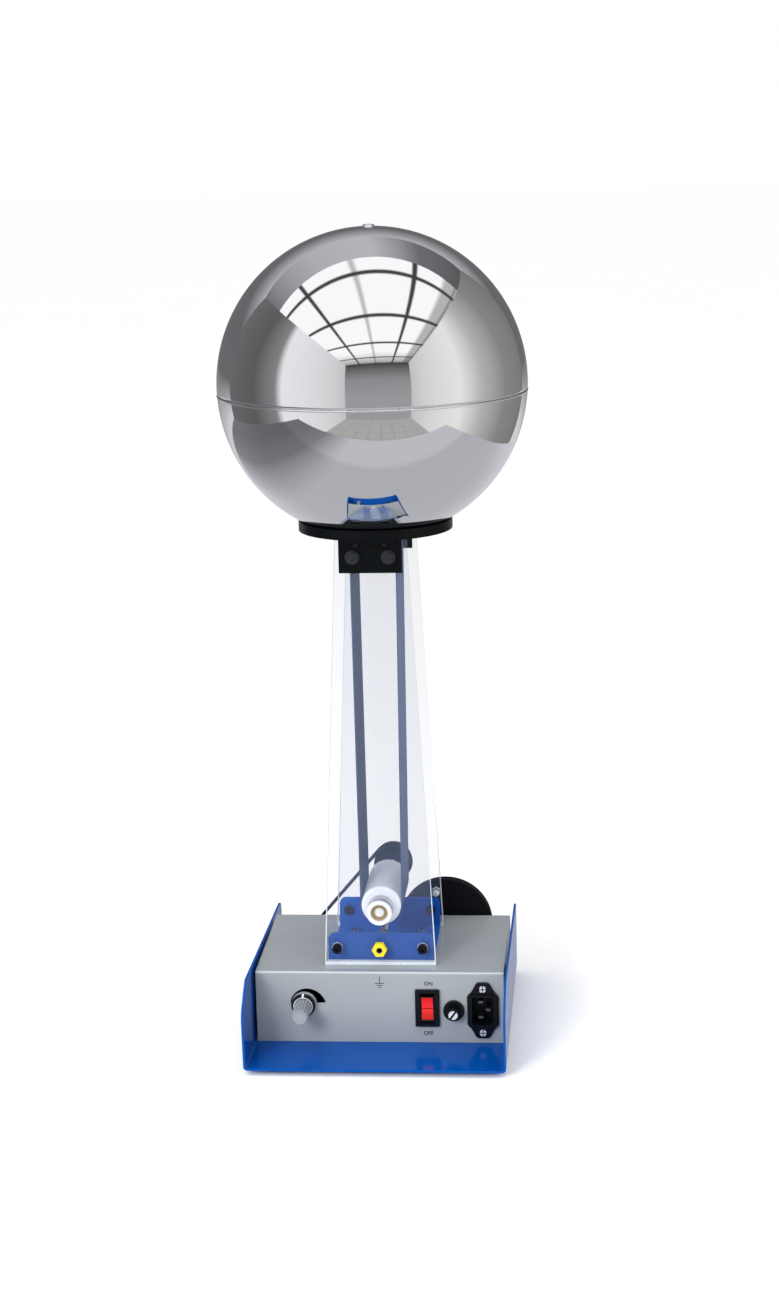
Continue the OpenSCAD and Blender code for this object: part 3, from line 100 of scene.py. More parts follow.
# %% A wire that can be added, multiplied and fed onward
class Wire:
    """One output in a material's node tree."""

    def __init__(self, tree, socket):
        self.tree = tree
        self.socket = socket

    def node(self, kind, settings=None, output=0, **inputs):
        """Adds a node: its settings are set first, then its inputs, named or as i0, i1, ..."""
        made = self.tree.nodes.new(kind)
        for key, value in (settings or {}).items():
            if key == "stops":
                set_stops(made.color_ramp, value)
            else:
                setattr(made, key, value)
        for key, value in inputs.items():
            place = made.inputs[int(key[1:]) if key[1:].isdigit() else key.replace("_", " ")]
            if isinstance(value, Wire):
                self.tree.links.new(value.socket, place)
            else:
                place.default_value = value
        return Wire(self.tree, made.outputs[output])

    def math(self, operation, *others, **settings):
        """Adds a Math node on this wire and the others, which may be wires or numbers."""
        values = {f"i{i}": v for i, v in enumerate((self, *others))}
        return self.node("ShaderNodeMath", {"operation": operation, **settings}, **values)

    def __add__(self, other):
        return self.math("ADD", other)

    __radd__ = __add__

    def __mul__(self, other):
        return self.math("MULTIPLY", other)

    __rmul__ = __mul__

    def __sub__(self, other):
        return self.math("SUBTRACT", other)

    def __rsub__(self, other):
        return (self * -1).math("ADD", other)


def set_stops(ramp, stops):
    """Gives a ramp its stops: pairs of a place from 0 to 1 and a grey."""
    while len(ramp.elements) < len(stops):
        ramp.elements.new(0.5)
    for element, (place, grey) in zip(ramp.elements, stops):
        element.position = place
        element.color = (grey, grey, grey, 1)


print("wires ready")

# %% [markdown]
# ## A finish
# Every finish starts from the Principled shader, whose constants are set on its own sockets.
# What varies over the surface comes from noise in object coordinates, so that it stays on the
# piece when the piece moves. The class makes the shader, and its methods add the two kinds of
# unevenness that nearly every real surface has: a faint cloudiness in its colour and gloss,
# and a fine relief.


# %% Helpers that start a finish and make it uneven
class Finish:
    """A material with its Principled shader and the position wire that patterns start from."""

    def __init__(self, name, colour, roughness, metallic=0.0, **constants):
        self.material = bpy.data.materials.new(name)
        self.material.use_nodes = True
        self.colour = colour
        tree = self.material.node_tree
        self.shader = tree.nodes["Principled BSDF"]
        self.set("Base Color", (*colour, 1))
        self.set("Roughness", roughness)
        self.set("Metallic", metallic)
        for key, value in constants.items():
            self.set(key.replace("_", " "), value)
        self.place = Wire(tree, tree.nodes.new("ShaderNodeTexCoord").outputs["Object"])
        self.normal = None

    def set(self, name, value):
        """Gives one of the shader's sockets a wire or a constant."""
        socket = self.shader.inputs[name]
        if isinstance(value, Wire):
            value.tree.links.new(value.socket, socket)
        else:
            socket.default_value = value

    def noise(self, size, detail=3.0, stretch=(1, 1, 1)):
        """Noise from 0 to 1 whose blotches are about size metres across."""
        placed = self.place.node("ShaderNodeMapping", i0=self.place, i3=stretch)
        return self.place.node("ShaderNodeTexNoise", Vector=placed, Scale=1 / size, Detail=detail)

    def between(self, mask, first, second):
        """The colour that goes from first to second with the mask."""
        ends = {}
        for key, value in (("i6", first), ("i7", second)):
            ends[key] = value if isinstance(value, Wire) else (*value, 1)
        return self.place.node("ShaderNodeMix", {"data_type": "RGBA"}, output=2, i0=mask, **ends)

    def cloud(self, size, share, gloss):
        """Colour that varies by a share of itself, and roughness that varies by gloss."""
        mask = self.noise(size)
        low = tuple(c * (1 - share) for c in self.colour)
        high = tuple(min(1.0, c * (1 + share)) for c in self.colour)
        self.set("Base Color", self.between(mask, low, high))
        middle = self.shader.inputs["Roughness"].default_value
        self.set("Roughness", (self.noise(size * 0.7) - 0.5) * (2 * gloss) + middle)
        return self

    def soft_edges(self, radius):
        """Shades sharp edges as if they were rounded to this radius."""
        self.normal = self.place.node("ShaderNodeBevel", {"samples": 4}, Radius=radius)
        return self

    def relief(self, height, depth, strength=1.0):
        """Bump from a height wire: depth is in metres."""
        wires = {"Strength": strength, "Distance": depth, "Height": height}
        if self.normal:
            wires["Normal"] = self.normal
        self.normal = self.place.node("ShaderNodeBump", **wires)
        self.set("Normal", self.normal)
        return self


print("finish helpers ready")

# %% [markdown]
# ## Painted sheet metal
# The tray and the tower's foot are folded steel in a deep royal blue enamel, and the box is
# the same sheet in a satin light grey. Stoved enamel has a faint orange peel a millimetre or
# two across, which breaks up long reflections. Sheared edges are never quite sharp, and enamel
# runs round them, so they are shaded as small rounds that catch a line of light. The foot's
# blue is painted a little paler than the tray's, a lit copy of the same enamel, as it faces
# the light.

# %% Blue and grey enamel
MM = 0.001
finishes = {}


def enamel(name, colour, roughness, gloss):
    """Glossy paint with orange peel and softened edges."""
    paint = Finish(name, colour, roughness, Specular_IOR_Level=gloss)
    paint.cloud(60 * MM, 0.04, 0.03)
    paint.soft_edges(0.5 * MM)
    return paint.relief(paint.noise(1.6 * MM, 1.0), 0.02 * MM, 0.35)


finishes["tray_blue"] = enamel("blue_enamel", (0.0005, 0.072, 0.35), 0.12, 0.1)
finishes["box_grey"] = enamel("grey_enamel", (0.325, 0.352, 0.372), 0.09, 0.5)
# The foot's paler blue is painted light: a lit copy of the tray's blue enamel.
lit_foot_blue = enamel("foot_lit_enamel", (0.012, 0.1, 0.46), 0.14, 0.2)
print("enamels:", sorted(finishes))

# %% [markdown]
# ## Plastics and rubber
# Moulded plastic is even in colour, with a very fine texture from the mould. Rubber is duller,
# and dust makes it paler in patches. The rollers and bearing housings are a milky white
# engineering plastic that lets some light in, which subsurface scattering gives.


# %% Moulded pieces, rubber and the milky white plastic
def moulded(name, colour, roughness, grain=0.35, depth=0.01, gloss=0.4, **constants):
    """Plastic or rubber: grain is the texture's size and depth its height, in millimetres."""
    plastic = Finish(name, colour, roughness, Specular_IOR_Level=gloss, **constants)
    plastic.cloud(9 * MM, 0.06, 0.04)
    return plastic.relief(plastic.noise(grain * MM, 2.0), depth * MM, 0.5)


finishes["plastic_black"] = moulded("black_moulding", (0.004, 0.005, 0.007), 0.3, gloss=0.22)
finishes["plastic_matt_black"] = moulded("matt_black_moulding", (0.004, 0.005, 0.007), 0.45, gloss=0.12)
finishes["collar_black"] = moulded("collar_black", (0.002, 0.003, 0.004), 0.36, gloss=0.1)
finishes["rocker_red"] = moulded("red_moulding", (0.66, 0.004, 0.005), 0.16, gloss=0.6)
finishes["knob_grey"] = moulded("grey_moulding", (0.27, 0.3, 0.325), 0.42)
finishes["socket_yellow"] = moulded("yellow_moulding", (0.86, 0.66, 0.01), 0.25)
finishes["parts_dark"] = moulded("dark_cases", (0.03, 0.03, 0.035), 0.4)
finishes["lead_sleeve"] = moulded("lead_sleeve", (0.2, 0.1, 0.04), 0.4)
finishes["board_green"] = moulded("board_lacquer", (0.02, 0.12, 0.05), 0.3, grain=3)
finishes["rubber_black"] = moulded("black_rubber", (0.006, 0.008, 0.01), 0.6, grain=0.5, gloss=0.15)
finishes["belt_rubber"] = moulded("belt_rubber", (0.07, 0.11, 0.21), 0.5, grain=1.6, depth=0.006, gloss=0.25)
finishes["roller_white"] = moulded("milky_plastic", (0.84, 0.86, 0.89), 0.35, Subsurface_Weight=0.35,
                                   Subsurface_Radius=(0.006, 0.006, 0.006), Subsurface_Scale=1.0)
print("plastics:", len(finishes))

# %% [markdown]
# ## Metals
# A metal's colour is in its reflection, so Metallic is 1 and the roughness does the rest.
# Turned and drawn pieces carry fine marks along their length, given by noise that is
# stretched along one axis. Small bright zinc-plated screws scatter light from all round, which
# a lower Metallic stands for.


# %% Plain, plated and blackened metals
def metal(name, colour, roughness, marks=0.0, stretch=(1, 1, 1)):
    """Bare or plated metal: marks is the depth of its working marks, in millimetres."""
    piece = Finish(name, colour, roughness, metallic=1.0)
    piece.cloud(6 * MM, 0.08, min(0.06, roughness * 0.4))
    if marks:
        piece.relief(piece.noise(0.5 * MM, 2.0, stretch), marks * MM, 0.6)
    return piece


finishes["screw_steel"] = metal("drawn_steel", (0.56, 0.57, 0.58), 0.28, 0.01, (1, 0.05, 1))
finishes["screw_black"] = metal("blackened_steel", (0.035, 0.035, 0.038), 0.36, 0.01)
finishes["chrome_bright"] = metal("bright_plating", (0.82, 0.83, 0.85), 0.1)
finishes["brass_plated"] = metal("brass", (0.76, 0.56, 0.26), 0.25, 0.008)
finishes["bush_bronze"] = metal("sintered_bronze", (0.74, 0.56, 0.32), 0.4, 0.03)
finishes["motor_case"] = metal("zinc_plate", (0.5, 0.51, 0.53), 0.38, 0.01)
ZINC_METALLIC = 0.45
bright_zinc = metal("bright_zinc", (0.84, 0.86, 0.89), 0.3)
bright_zinc.set("Metallic", ZINC_METALLIC)
print("metals ready")

# %% [markdown]
# ## Clear acrylic and glass
# The tower is two cast sheets of acrylic. Their faces all but vanish, and their sawn and
# flame-polished edges glow, because light that enters the sheet is trapped until it gets out
# there. That glow is painted: a pale highlight colour along the outline, with a painted dark
# line of shade at its very edge. A flat sheet hardly bends what is seen through it, so Alpha
# does the work: a few parts in a hundred on the faces, more at a glancing angle, and nearly
# full along the edges. Light then also falls through the sheets onto the rollers, which true
# refraction would shadow.


# %% Masks in object coordinates
def axis_of(paint, number):
    """One object coordinate, in metres: 0 is X, 1 is Y and 2 is Z."""
    return paint.place.node("ShaderNodeSeparateXYZ", None, number, i0=paint.place)


def step(wire, edge, soft):
    """Rises from 0 to 1 over a soft width past an edge."""
    return (wire - edge).math("DIVIDE", soft, use_clamp=True)


print("masks ready")

# %% The sheets' outline, and the clear finishes
FOOT_HALF, TOP_HALF = 49 * MM, 30.5 * MM
RIM_BAND, FOOT_BAND = 1.1 * MM, 3.4 * MM
LIP_SHARE, FOOT_LIP_SHARE = 0.3, 0.1
# Painted highlight and painted shade colours for the sheets' edges.
LIT_EDGE, SHADED_LIP = (0.86, 0.93, 1.0), (0.2, 0.3, 0.46)
FACE_ALPHA, GLANCING_ALPHA, RIM_ALPHA = 0.075, 0.5, 0.86


def edge_light(sheet, low, high, inset, foot_inset):
    """1 within an inset of a tapered sheet's outline and on its cut faces, 0 further in."""
    x, z = axis_of(sheet, 0).math("ABSOLUTE"), axis_of(sheet, 2)
    taper = (FOOT_HALF - TOP_HALF) / (high.z - low.z)
    side = step(x + z * taper, FOOT_HALF + low.z * taper - inset, 0.3 * MM)
    foot = step(z * -1, -low.z - foot_inset, 0.4 * MM)
    return side.math("MAXIMUM", foot)


def clear(name, tint, rim=None):
    """A nearly invisible finish: rim is the box of a tapered sheet whose edges get a painted glow."""
    sheet = Finish(name, tint, 0.06, Specular_IOR_Level=0.5)
    glancing = sheet.place.node("ShaderNodeLayerWeight", Blend=0.35)
    body = glancing * GLANCING_ALPHA + FACE_ALPHA
    if rim:
        band = edge_light(sheet, *rim, RIM_BAND, FOOT_BAND)
        lip = edge_light(sheet, *rim, LIP_SHARE * RIM_BAND, FOOT_LIP_SHARE * RIM_BAND)
        speckle = sheet.noise(3 * MM) * 0.3 + 0.7
        # Painted highlight along the outline, and painted shade in a thin line at its very edge.
        lit = sheet.between(band, tint, LIT_EDGE)
        sheet.set("Base Color", sheet.between(lip, lit, SHADED_LIP))
        body = body.math("MAXIMUM", band * speckle * RIM_ALPHA)
    sheet.set("Alpha", body)
    return sheet.relief(sheet.noise(30 * MM, 1.0), 0.01 * MM, 0.15)


finishes["acrylic_clear"] = clear("clear_acrylic", (0.2, 0.25, 0.4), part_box("front_sheet"))
finishes["fuse_glass"] = clear("fuse_glass", (0.3, 0.33, 0.35))
print("clear finishes ready")

# %% [markdown]
# ## The polished dome
# The dome is spun from sheet on a lathe and polished to a mirror. Up close the polish leaves
# hair-fine rings round the axis. They are far too shallow to see as relief, but they stretch
# each highlight a little, so a noise that is long round the axis feeds a very weak bump.

# %% Mirror polish
dome_polish = Finish("mirror_polish", (0.86, 0.87, 0.88), 0.035, metallic=1.0)
rings = dome_polish.noise(2.4 * MM, 2.0, (0.02, 0.02, 1))
dome_polish.relief(rings, 0.004 * MM, 0.08)
dome_polish.set("Roughness", dome_polish.noise(50 * MM) * 0.02 + 0.025)
finishes["dome_polished"] = dome_polish
print("dome polish ready")

# %% [markdown]
# ## Finishes onto the fixed frame
# The record says which material slot each solid has, so one loop dresses them all. Solids are
# never moved or changed: only their material is set.

# %% Dress every solid
for row in frame["record"]["subparts"]:
    mesh = nodes[row["node"]].data
    mesh.materials.clear()
    mesh.materials.append(finishes[row["material_slot"]].material)

# %% [markdown]
# ## Solids with a finish of their own
# Some solids carry a print, a fold or a shadowed hole. A mask in object coordinates switches
# between two colours there, which stays right when the piece turns. Others share a slot with
# pieces that look different in the photograph, so they get a finish by name.


# %% Tools for single solids
def middle_of(node):
    """The middle of a solid's box."""
    low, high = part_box(node)
    return (low + high) / 2


def dress(node, paint):
    """Gives one solid a finish of its own."""
    nodes[node].data.materials.clear()
    nodes[node].data.materials.append(paint.material)


def round_distance(paint, centre):
    """Distance in metres from an axis along Y through a point."""
    across, upward = axis_of(paint, 0) - centre.x, axis_of(paint, 2) - centre.z
    return (across * across + upward * upward).math("SQRT")


print("single solids can be dressed")

# %% [markdown]
# ## Knob skirt and earth socket
# The black skirt under the speed knob has a white printed tick that points at the setting,
# and a white ring next to the grip that is a painted highlight. The earth socket is lined
# with a plated sleeve, and its deep bore is painted a dark red-brown, as painted shade.

# %% White print and a painted highlight on the skirt
KNOB = middle_of("pot_shaft")
knob_low, knob_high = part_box("speed_knob")
KNOB_R = (knob_high.x - knob_low.x) / 2
PRINT_EDGE = 0.1 * MM
TICK_HALF, TICK_START = 0.9 * MM, 8.0 * MM
RING_GAP, RING_REACH = 0.1 * MM, 0.8 * MM
skirt = moulded("skirt_moulding", (0.004, 0.005, 0.007), 0.3, gloss=0.22)
near_tick = step((axis_of(skirt, 0) - KNOB.x).math("ABSOLUTE") * -1, -TICK_HALF, PRINT_EDGE)
above_knob = step(axis_of(skirt, 2), KNOB.z + TICK_START, PRINT_EDGE)
off_shaft = round_distance(skirt, KNOB)
past_grip = step(off_shaft, KNOB_R + RING_GAP, PRINT_EDGE)
# Painted highlight: a white ring at the foot of the grip.
ring_highlight = past_grip * step(off_shaft * -1, -KNOB_R - RING_REACH, PRINT_EDGE)
tick_print_and_ring_highlight = (near_tick * above_knob).math("MAXIMUM", ring_highlight)
skirt.set("Base Color", skirt.between(tick_print_and_ring_highlight, skirt.colour, (0.8, 0.82, 0.84)))
dress("knob_skirt", skirt)
print("skirt printed round a knob of radius", round(KNOB_R, 4))

# %% Sleeve with painted shade in its bore
BORE_R = 2.3 * MM
sleeve = metal("sleeve_plate", (0.8, 0.78, 0.72), 0.2)
outside = step(round_distance(sleeve, middle_of("earth_socket")), BORE_R, 0.4 * MM)
# Painted shade: inside the bore the colour is dark red-brown and not metallic.
sleeve.set("Base Color", sleeve.between(outside, (0.05, 0.006, 0.004), sleeve.colour))
sleeve.set("Metallic", outside * 1.0)
dress("earth_sleeve", sleeve)
print("sleeve bore", round(2 * BORE_R, 4), "across")

# %% [markdown]
# ## Bright and black hardware
# The washers, nuts and rods are freshly plated and brighter than the plain steel screws. The
# inlet's pins are a darker nickel, painted shade inside the inlet. The inlet's two screws have
# a cross recess, whose shade is painted as a dark cross at this size. The bolts under the
# collar are blackened and polished.

# %% Plated solids, pins in painted shade and the screws' painted crosses
# Painted shade: the pins' darker nickel stands for shade inside the inlet.
dress("inlet_pins", metal("nickel_painted_shade", (0.3, 0.3, 0.31), 0.45))
for node in ("tower_washers", "pot_nut", "dome_head_screw", "lower_shaft", "comb_rod"):
    dress(node, bright_zinc)

INLET = middle_of("inlet_screws")
SCREW_PITCH, CROSS_HALF = 40 * MM, 0.35 * MM
crossed = metal("crossed_zinc", bright_zinc.colour, 0.3)
crossed.set("Metallic", ZINC_METALLIC)
over = (axis_of(crossed, 2) - INLET.z).math("ABSOLUTE") - SCREW_PITCH / 2
beside = axis_of(crossed, 0) - INLET.x
arms = over.math("ABSOLUTE").math("MINIMUM", beside.math("ABSOLUTE"))
plain = step(arms, CROSS_HALF, 0.2 * MM)
# Painted shade: the cross recess is coloured near black.
crossed.set("Base Color", crossed.between(plain, (0.02, 0.02, 0.02), crossed.colour))
dress("inlet_screws", crossed)
print("inlet screws", SCREW_PITCH, "apart")

# %% Black bolts
bolt_black = metal("polished_black", (0.09, 0.095, 0.105), 0.2)
bolt_black.soft_edges(0.6 * MM).relief(bolt_black.noise(1 * MM), 0.01 * MM, 0.3)
dress("top_bolts", bolt_black)
print("top bolts blackened")

# %% [markdown]
# ## The box's fold, the foot and the roller
# The box's front fold has a small radius that faces the light from overhead, so its colour
# has a painted highlight, a pale line from end to end. The roller is lit through the milky
# plastic from all sides of the clear tower, more than the few lamps here can do, so it gets
# a painted glow, a little light of its own.

# %% Painted highlight on the fold, and the lit blue foot
FOLD_REACH, FOLD_SOFT = 1.5 * MM, 0.9 * MM
box_paint = finishes["box_grey"]
box_low, box_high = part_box("control_box")
# Painted highlight: a pale colour mixed in along the box's top front fold.
fold_highlight_up = step(axis_of(box_paint, 2), box_high.z - FOLD_REACH, FOLD_SOFT)
fold_highlight_front = step(axis_of(box_paint, 1) * -1, -box_low.y - FOLD_REACH, FOLD_SOFT)
clouded = Wire(box_paint.place.tree, box_paint.shader.inputs["Base Color"].links[0].from_socket)
box_paint.set("Base Color", box_paint.between(fold_highlight_up * fold_highlight_front, clouded, (0.62, 0.66, 0.69)))
dress("foot_bracket", lit_foot_blue)
print("fold at height", round(box_high.z, 4))

# %% Roller with a painted glow, and bearing housings
# Painted glow: the roller's emission stands for light, though it is no lamp.
milky_painted_glow = moulded("milky_painted_glow", (0.84, 0.86, 0.9), 0.35, Subsurface_Weight=0.35, Emission_Strength=0.26,
                    Subsurface_Radius=(0.006, 0.006, 0.006), Emission_Color=(0.86, 0.9, 1.0, 1))
dress("lower_roller", milky_painted_glow)
dress("bearing_housings", moulded("housing_moulding", (0.66, 0.67, 0.69), 0.35))
print("roller and housings dressed")

# %% [markdown]
# ## The rocker's painted glow and shade
# The rocker is a red lens. A black border round it is painted shade, where the gap to the
# bezel and the lower end lie in shade, and a dark line across its pivot is painted shade in
# the groove there. Its glow is painted in the emission: a mask makes it brightest a little
# above the middle, as a painted highlight.

# %% Red lens, painted shade round it and painted glow
ROCKER = middle_of("switch_rocker")
rocker_low, rocker_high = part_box("switch_rocker")
SIDE_SHADE, TOP_SHADE, FOOT_SHADE, SHADE_SOFT = 0.8 * MM, 1.0 * MM, 2.2 * MM, 0.15 * MM
GROOVE_HALF, GROOVE_SOFT = 0.25 * MM, 0.2 * MM
GLOW_RISE, GLOW_REACH = 3 * MM, 11 * MM
rocker_painted_glow = moulded("lamp_lit_red", (0.62, 0.004, 0.005), 0.16, gloss=0.5)
height = axis_of(rocker_painted_glow, 2) - ROCKER.z
beside = (axis_of(rocker_painted_glow, 0) - ROCKER.x).math("ABSOLUTE")
# Painted shade: a black border round the lens, widest at its lower end.
in_width = step(beside * -1, SIDE_SHADE - (rocker_high.x - ROCKER.x), SHADE_SOFT)
above_foot = step(height, rocker_low.z - ROCKER.z + FOOT_SHADE, SHADE_SOFT)
below_top = step(height * -1, TOP_SHADE - (rocker_high.z - ROCKER.z), SHADE_SOFT)
lens_area = in_width * (above_foot * below_top)
# Painted shade: a dark line across the pivot, in its groove.
off_groove = step(height.math("ABSOLUTE"), GROOVE_HALF, GROOVE_SOFT)
groove_painted_shade = rocker_painted_glow.between(off_groove, (0.1, 0.001, 0.001), rocker_painted_glow.colour)
rocker_painted_glow.set("Base Color", rocker_painted_glow.between(lens_area, (0.004, 0.004, 0.005), groove_painted_shade))
# Painted glow and highlight: emission brightest a little above the middle.
nearness = 1 - step((height - GLOW_RISE).math("ABSOLUTE"), 0, GLOW_REACH)
glow = rocker_painted_glow.between(nearness * off_groove * lens_area, (0.0, 0.0, 0.0), (0.42, 0.03, 0.02))
rocker_painted_glow.set("Emission Color", glow)
rocker_painted_glow.set("Emission Strength", 1.0)
dress("switch_rocker", rocker_painted_glow)
print("rocker", round(rocker_high.x - rocker_low.x, 4), "by", round(rocker_high.z - rocker_low.z, 4))

# %% [markdown]
# ## Turned pieces
# A lathe makes a round piece from a profile, and so does Blender's spin. Each point of a
# profile is drawn in the plane of X and Z, and an arc is itself the spin of a single point
# about the Y axis, so even the dome's circle comes from an operator.


def new_piece(name, bm, slot_name, body, smooth=True):
    """Makes the finished mesh an object that rides on a body and wears a slot's finish."""
    bmesh.ops.remove_doubles(bm, verts=bm.verts, dist=1e-6)
    bmesh.ops.recalc_face_normals(bm, faces=bm.faces)
    mesh = bpy.data.meshes.new(name)
    bm.to_mesh(mesh)
    bm.free()
    mesh.materials.append(finishes[slot_name].material)
    for face in mesh.polygons:
        face.use_smooth = smooth
    piece = bpy.data.objects.new(name, mesh)
    bpy.context.scene.collection.objects.link(piece)
    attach(piece, body)
    return piece


def arc(bm, radius, centre_z, start, end, steps):
    """An arc in the plane of X and Z, its angles from +X towards +Z. Returns its two end points."""
    a = math.radians(start)
    first = bm.verts.new((radius * math.cos(a), 0, centre_z + radius * math.sin(a)))
    made = bmesh.ops.spin(bm, geom=[first], cent=(0, 0, centre_z), axis=(0, -1, 0),
                          angle=math.radians(end - start), steps=steps)
    last = next(v for v in made["geom_last"] if isinstance(v, bmesh.types.BMVert))
    return first, last


def turn(bm, steps):
    """Spins everything drawn so far a full turn about the Z axis."""
    bmesh.ops.spin(bm, geom=bm.verts[:] + bm.edges[:], cent=(0, 0, 0), axis=(0, 0, 1),
                   angle=math.tau, steps=steps, use_merge=True)


print("lathe ready")

# %% [markdown]
# ## The two halves of the dome
# A mirror shows every flat of a coarse mesh, so both halves are turned again here with far
# finer steps than the solids have. They keep the solids' radii: the lower half ends in the
# small rolled bead that the upper half stands on, which reads as a thin bright line. The inner
# wall is the same arc a wall's thickness further in, and it stops at the hole in the top.

# %% Upper and lower halves
DOME_R = 132.9 * MM
DOME_WALL = 1.0 * MM
TOP_HOLE_R = 4.5 * MM
SEAM_DROP, SEAM_GAP = 6.0 * MM, 0.3 * MM
INNER_TOP = 0.99941
MERIDIAN_STEPS, ROUND_STEPS = 96, 256
rim_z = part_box("lower_dome")[0].z
top_height = math.sqrt(DOME_R ** 2 - TOP_HOLE_R ** 2)
dome_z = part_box("upper_dome")[1].z - top_height


def angle_at(height, radius):
    """The angle on an arc, in degrees, at a height over its centre."""
    return math.degrees(math.asin(height / radius))


def dome_half(name, low, high, body, node):
    """A thin spherical zone between two heights over the dome's centre."""
    bm = bmesh.new()
    outer = arc(bm, DOME_R, dome_z, angle_at(low, DOME_R), angle_at(high, DOME_R), MERIDIAN_STEPS)
    inner_r = DOME_R - DOME_WALL
    inner_high = min(high, inner_r * INNER_TOP)
    inner = arc(bm, inner_r, dome_z, angle_at(low, inner_r), angle_at(inner_high, inner_r), MERIDIAN_STEPS)
    bm.edges.new((outer[0], inner[0]))
    bm.edges.new((outer[1], inner[1]))
    turn(bm, ROUND_STEPS)
    half = new_piece(name, bm, "dome_polished", body)
    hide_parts(node)


dome_half("dome_upper_half", -SEAM_DROP + SEAM_GAP, top_height, "upper_dome", "upper_dome")
dome_half("dome_lower_half", rim_z - dome_z, -SEAM_DROP, "lower_dome", "lower_dome")
print("dome centre at", round(dome_z, 4), "radius", DOME_R)

# %% Bead at the seam
BEAD_R, BEAD_STANDS_OUT = 0.9 * MM, 0.5 * MM
bead = bmesh.new()
bead_height = -SEAM_DROP - BEAD_R
bead_x = math.sqrt(DOME_R ** 2 - bead_height ** 2) - BEAD_R + BEAD_STANDS_OUT
ring_centre = Vector((bead_x, 0, dome_z + bead_height))
bead_start = bead.verts.new(ring_centre + Vector((BEAD_R, 0, 0)))
bmesh.ops.spin(bead, geom=[bead_start], cent=ring_centre, axis=(0, 1, 0), angle=math.tau, steps=12,
               use_merge=True)
turn(bead, ROUND_STEPS)
new_piece("seam_bead", bead, "dome_polished", "lower_dome")
print("bead round the seam at", round(ring_centre.z, 4))

# %% [markdown]
# ## Fluted knob and fuse cap
# Both are mouldings whose grip is cut lengthwise, so both start as a circle that a cosine draws
# in at even steps. Extruding it gives the grip, and an inset at the end its bevelled rim. The
# fuse cap also has a stub that holds the fuse, and a bright slotted plate in its middle, which
# is a disc that is cut by two planes and loses the strip between them.


# %% Tools for moulded grips
def facing_panel(bm, centre):
    """Turns a drawing in X and Y upright, with +Z towards the reader, and puts it in place."""
    upright = Matrix.Rotation(math.radians(90), 4, "X")
    bmesh.ops.transform(bm, matrix=Matrix.Translation(centre) @ upright, verts=bm.verts)


def lift(bm, faces, distance, narrowing=1.0):
    """Extrudes a region straight out and returns the faces at its end."""
    made = bmesh.ops.extrude_face_region(bm, geom=faces)["geom"]
    verts = [v for v in made if isinstance(v, bmesh.types.BMVert)]
    bmesh.ops.scale(bm, vec=(narrowing, narrowing, 1), verts=verts)
    bmesh.ops.translate(bm, vec=(0, 0, distance), verts=verts)
    return [f for f in made if isinstance(f, bmesh.types.BMFace)]


def fluted_circle(radius, depth, flutes, points):
    """A filled circle whose edge dips by a depth at each flute."""
    bm = bmesh.new()
    bmesh.ops.create_circle(bm, cap_ends=True, segments=flutes * points, radius=radius)
    for vert in bm.verts:
        turned = math.atan2(vert.co.y, vert.co.x)
        vert.co *= 1 - depth / radius * (0.5 + 0.5 * math.cos(flutes * turned)) ** 2
    return bm


print("grip tools ready")

# %% Speed knob
KNOB_FLUTES, FLUTE_POINTS, FLUTE_DEPTH = 16, 8, 1.1 * MM
GRIP_TAPER = 0.94
BEVEL_H, BEVEL_TAPER = 0.8 * MM, 0.88
grip = fluted_circle(KNOB_R, FLUTE_DEPTH, KNOB_FLUTES, FLUTE_POINTS)
face = lift(grip, grip.faces[:], knob_high.y - knob_low.y - BEVEL_H, GRIP_TAPER)
face = lift(grip, face, BEVEL_H, BEVEL_TAPER)
bmesh.ops.inset_region(grip, faces=face, thickness=0.7 * MM, depth=-0.35 * MM)
facing_panel(grip, Vector((KNOB.x, knob_high.y, KNOB.z)))
knob = new_piece("speed_knob_grip", grip, "knob_grey", "speed_knob", smooth=False)
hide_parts("speed_knob")
print("knob stands out", round(knob_high.y - knob_low.y, 4))

# %% Fuse cap with its slotted plate
FUSE = middle_of("fuse_cap")
cap_low, cap_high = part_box("fuse_cap")
CAP_R, STUB_R = 5.5 * MM, 3.9 * MM
CAP_FLUTES, CAP_FLUTE_POINTS, CAP_FLUTE_DEPTH = 24, 4, 0.45 * MM
CAP_BEVEL_H, CAP_BEVEL_TAPER = 0.6 * MM, 0.87
CAP_RIM, CAP_DISH = 0.4 * MM, 0.4 * MM
CAP_GAP, BORE_CLEARANCE, BORE_SHORT = 0.3 * MM, 0.1 * MM, 2 * MM
FLAT = 1e-7
FUSE_R = middle_of("fuse_ends").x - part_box("fuse_ends")[0].x
flange_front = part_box("fuse_holder")[0].y
cap_back = flange_front - CAP_GAP

ring = fluted_circle(CAP_R, CAP_FLUTE_DEPTH, CAP_FLUTES, CAP_FLUTE_POINTS)
front = lift(ring, ring.faces[:], cap_back - cap_low.y - CAP_BEVEL_H)
front = lift(ring, front, CAP_BEVEL_H, CAP_BEVEL_TAPER)
bmesh.ops.inset_region(ring, faces=front, thickness=CAP_RIM, depth=-CAP_DISH)
back = [f for f in ring.faces if all(abs(v.co.z) < FLAT for v in f.verts)]
stub = lift(ring, back, 0, STUB_R / CAP_R)
stub = lift(ring, stub, cap_back - cap_high.y)
bore = lift(ring, stub, 0, (FUSE_R + BORE_CLEARANCE) / STUB_R)
lift(ring, bore, cap_high.y - flange_front - BORE_SHORT)
facing_panel(ring, Vector((FUSE.x, cap_back, FUSE.z)))
cap = new_piece("fuse_cap_ring", ring, "plastic_black", "fuse_cap", smooth=False)
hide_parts("fuse_cap")
print("fuse cap from", round(cap_low.y, 4), "to", round(cap_high.y, 4))

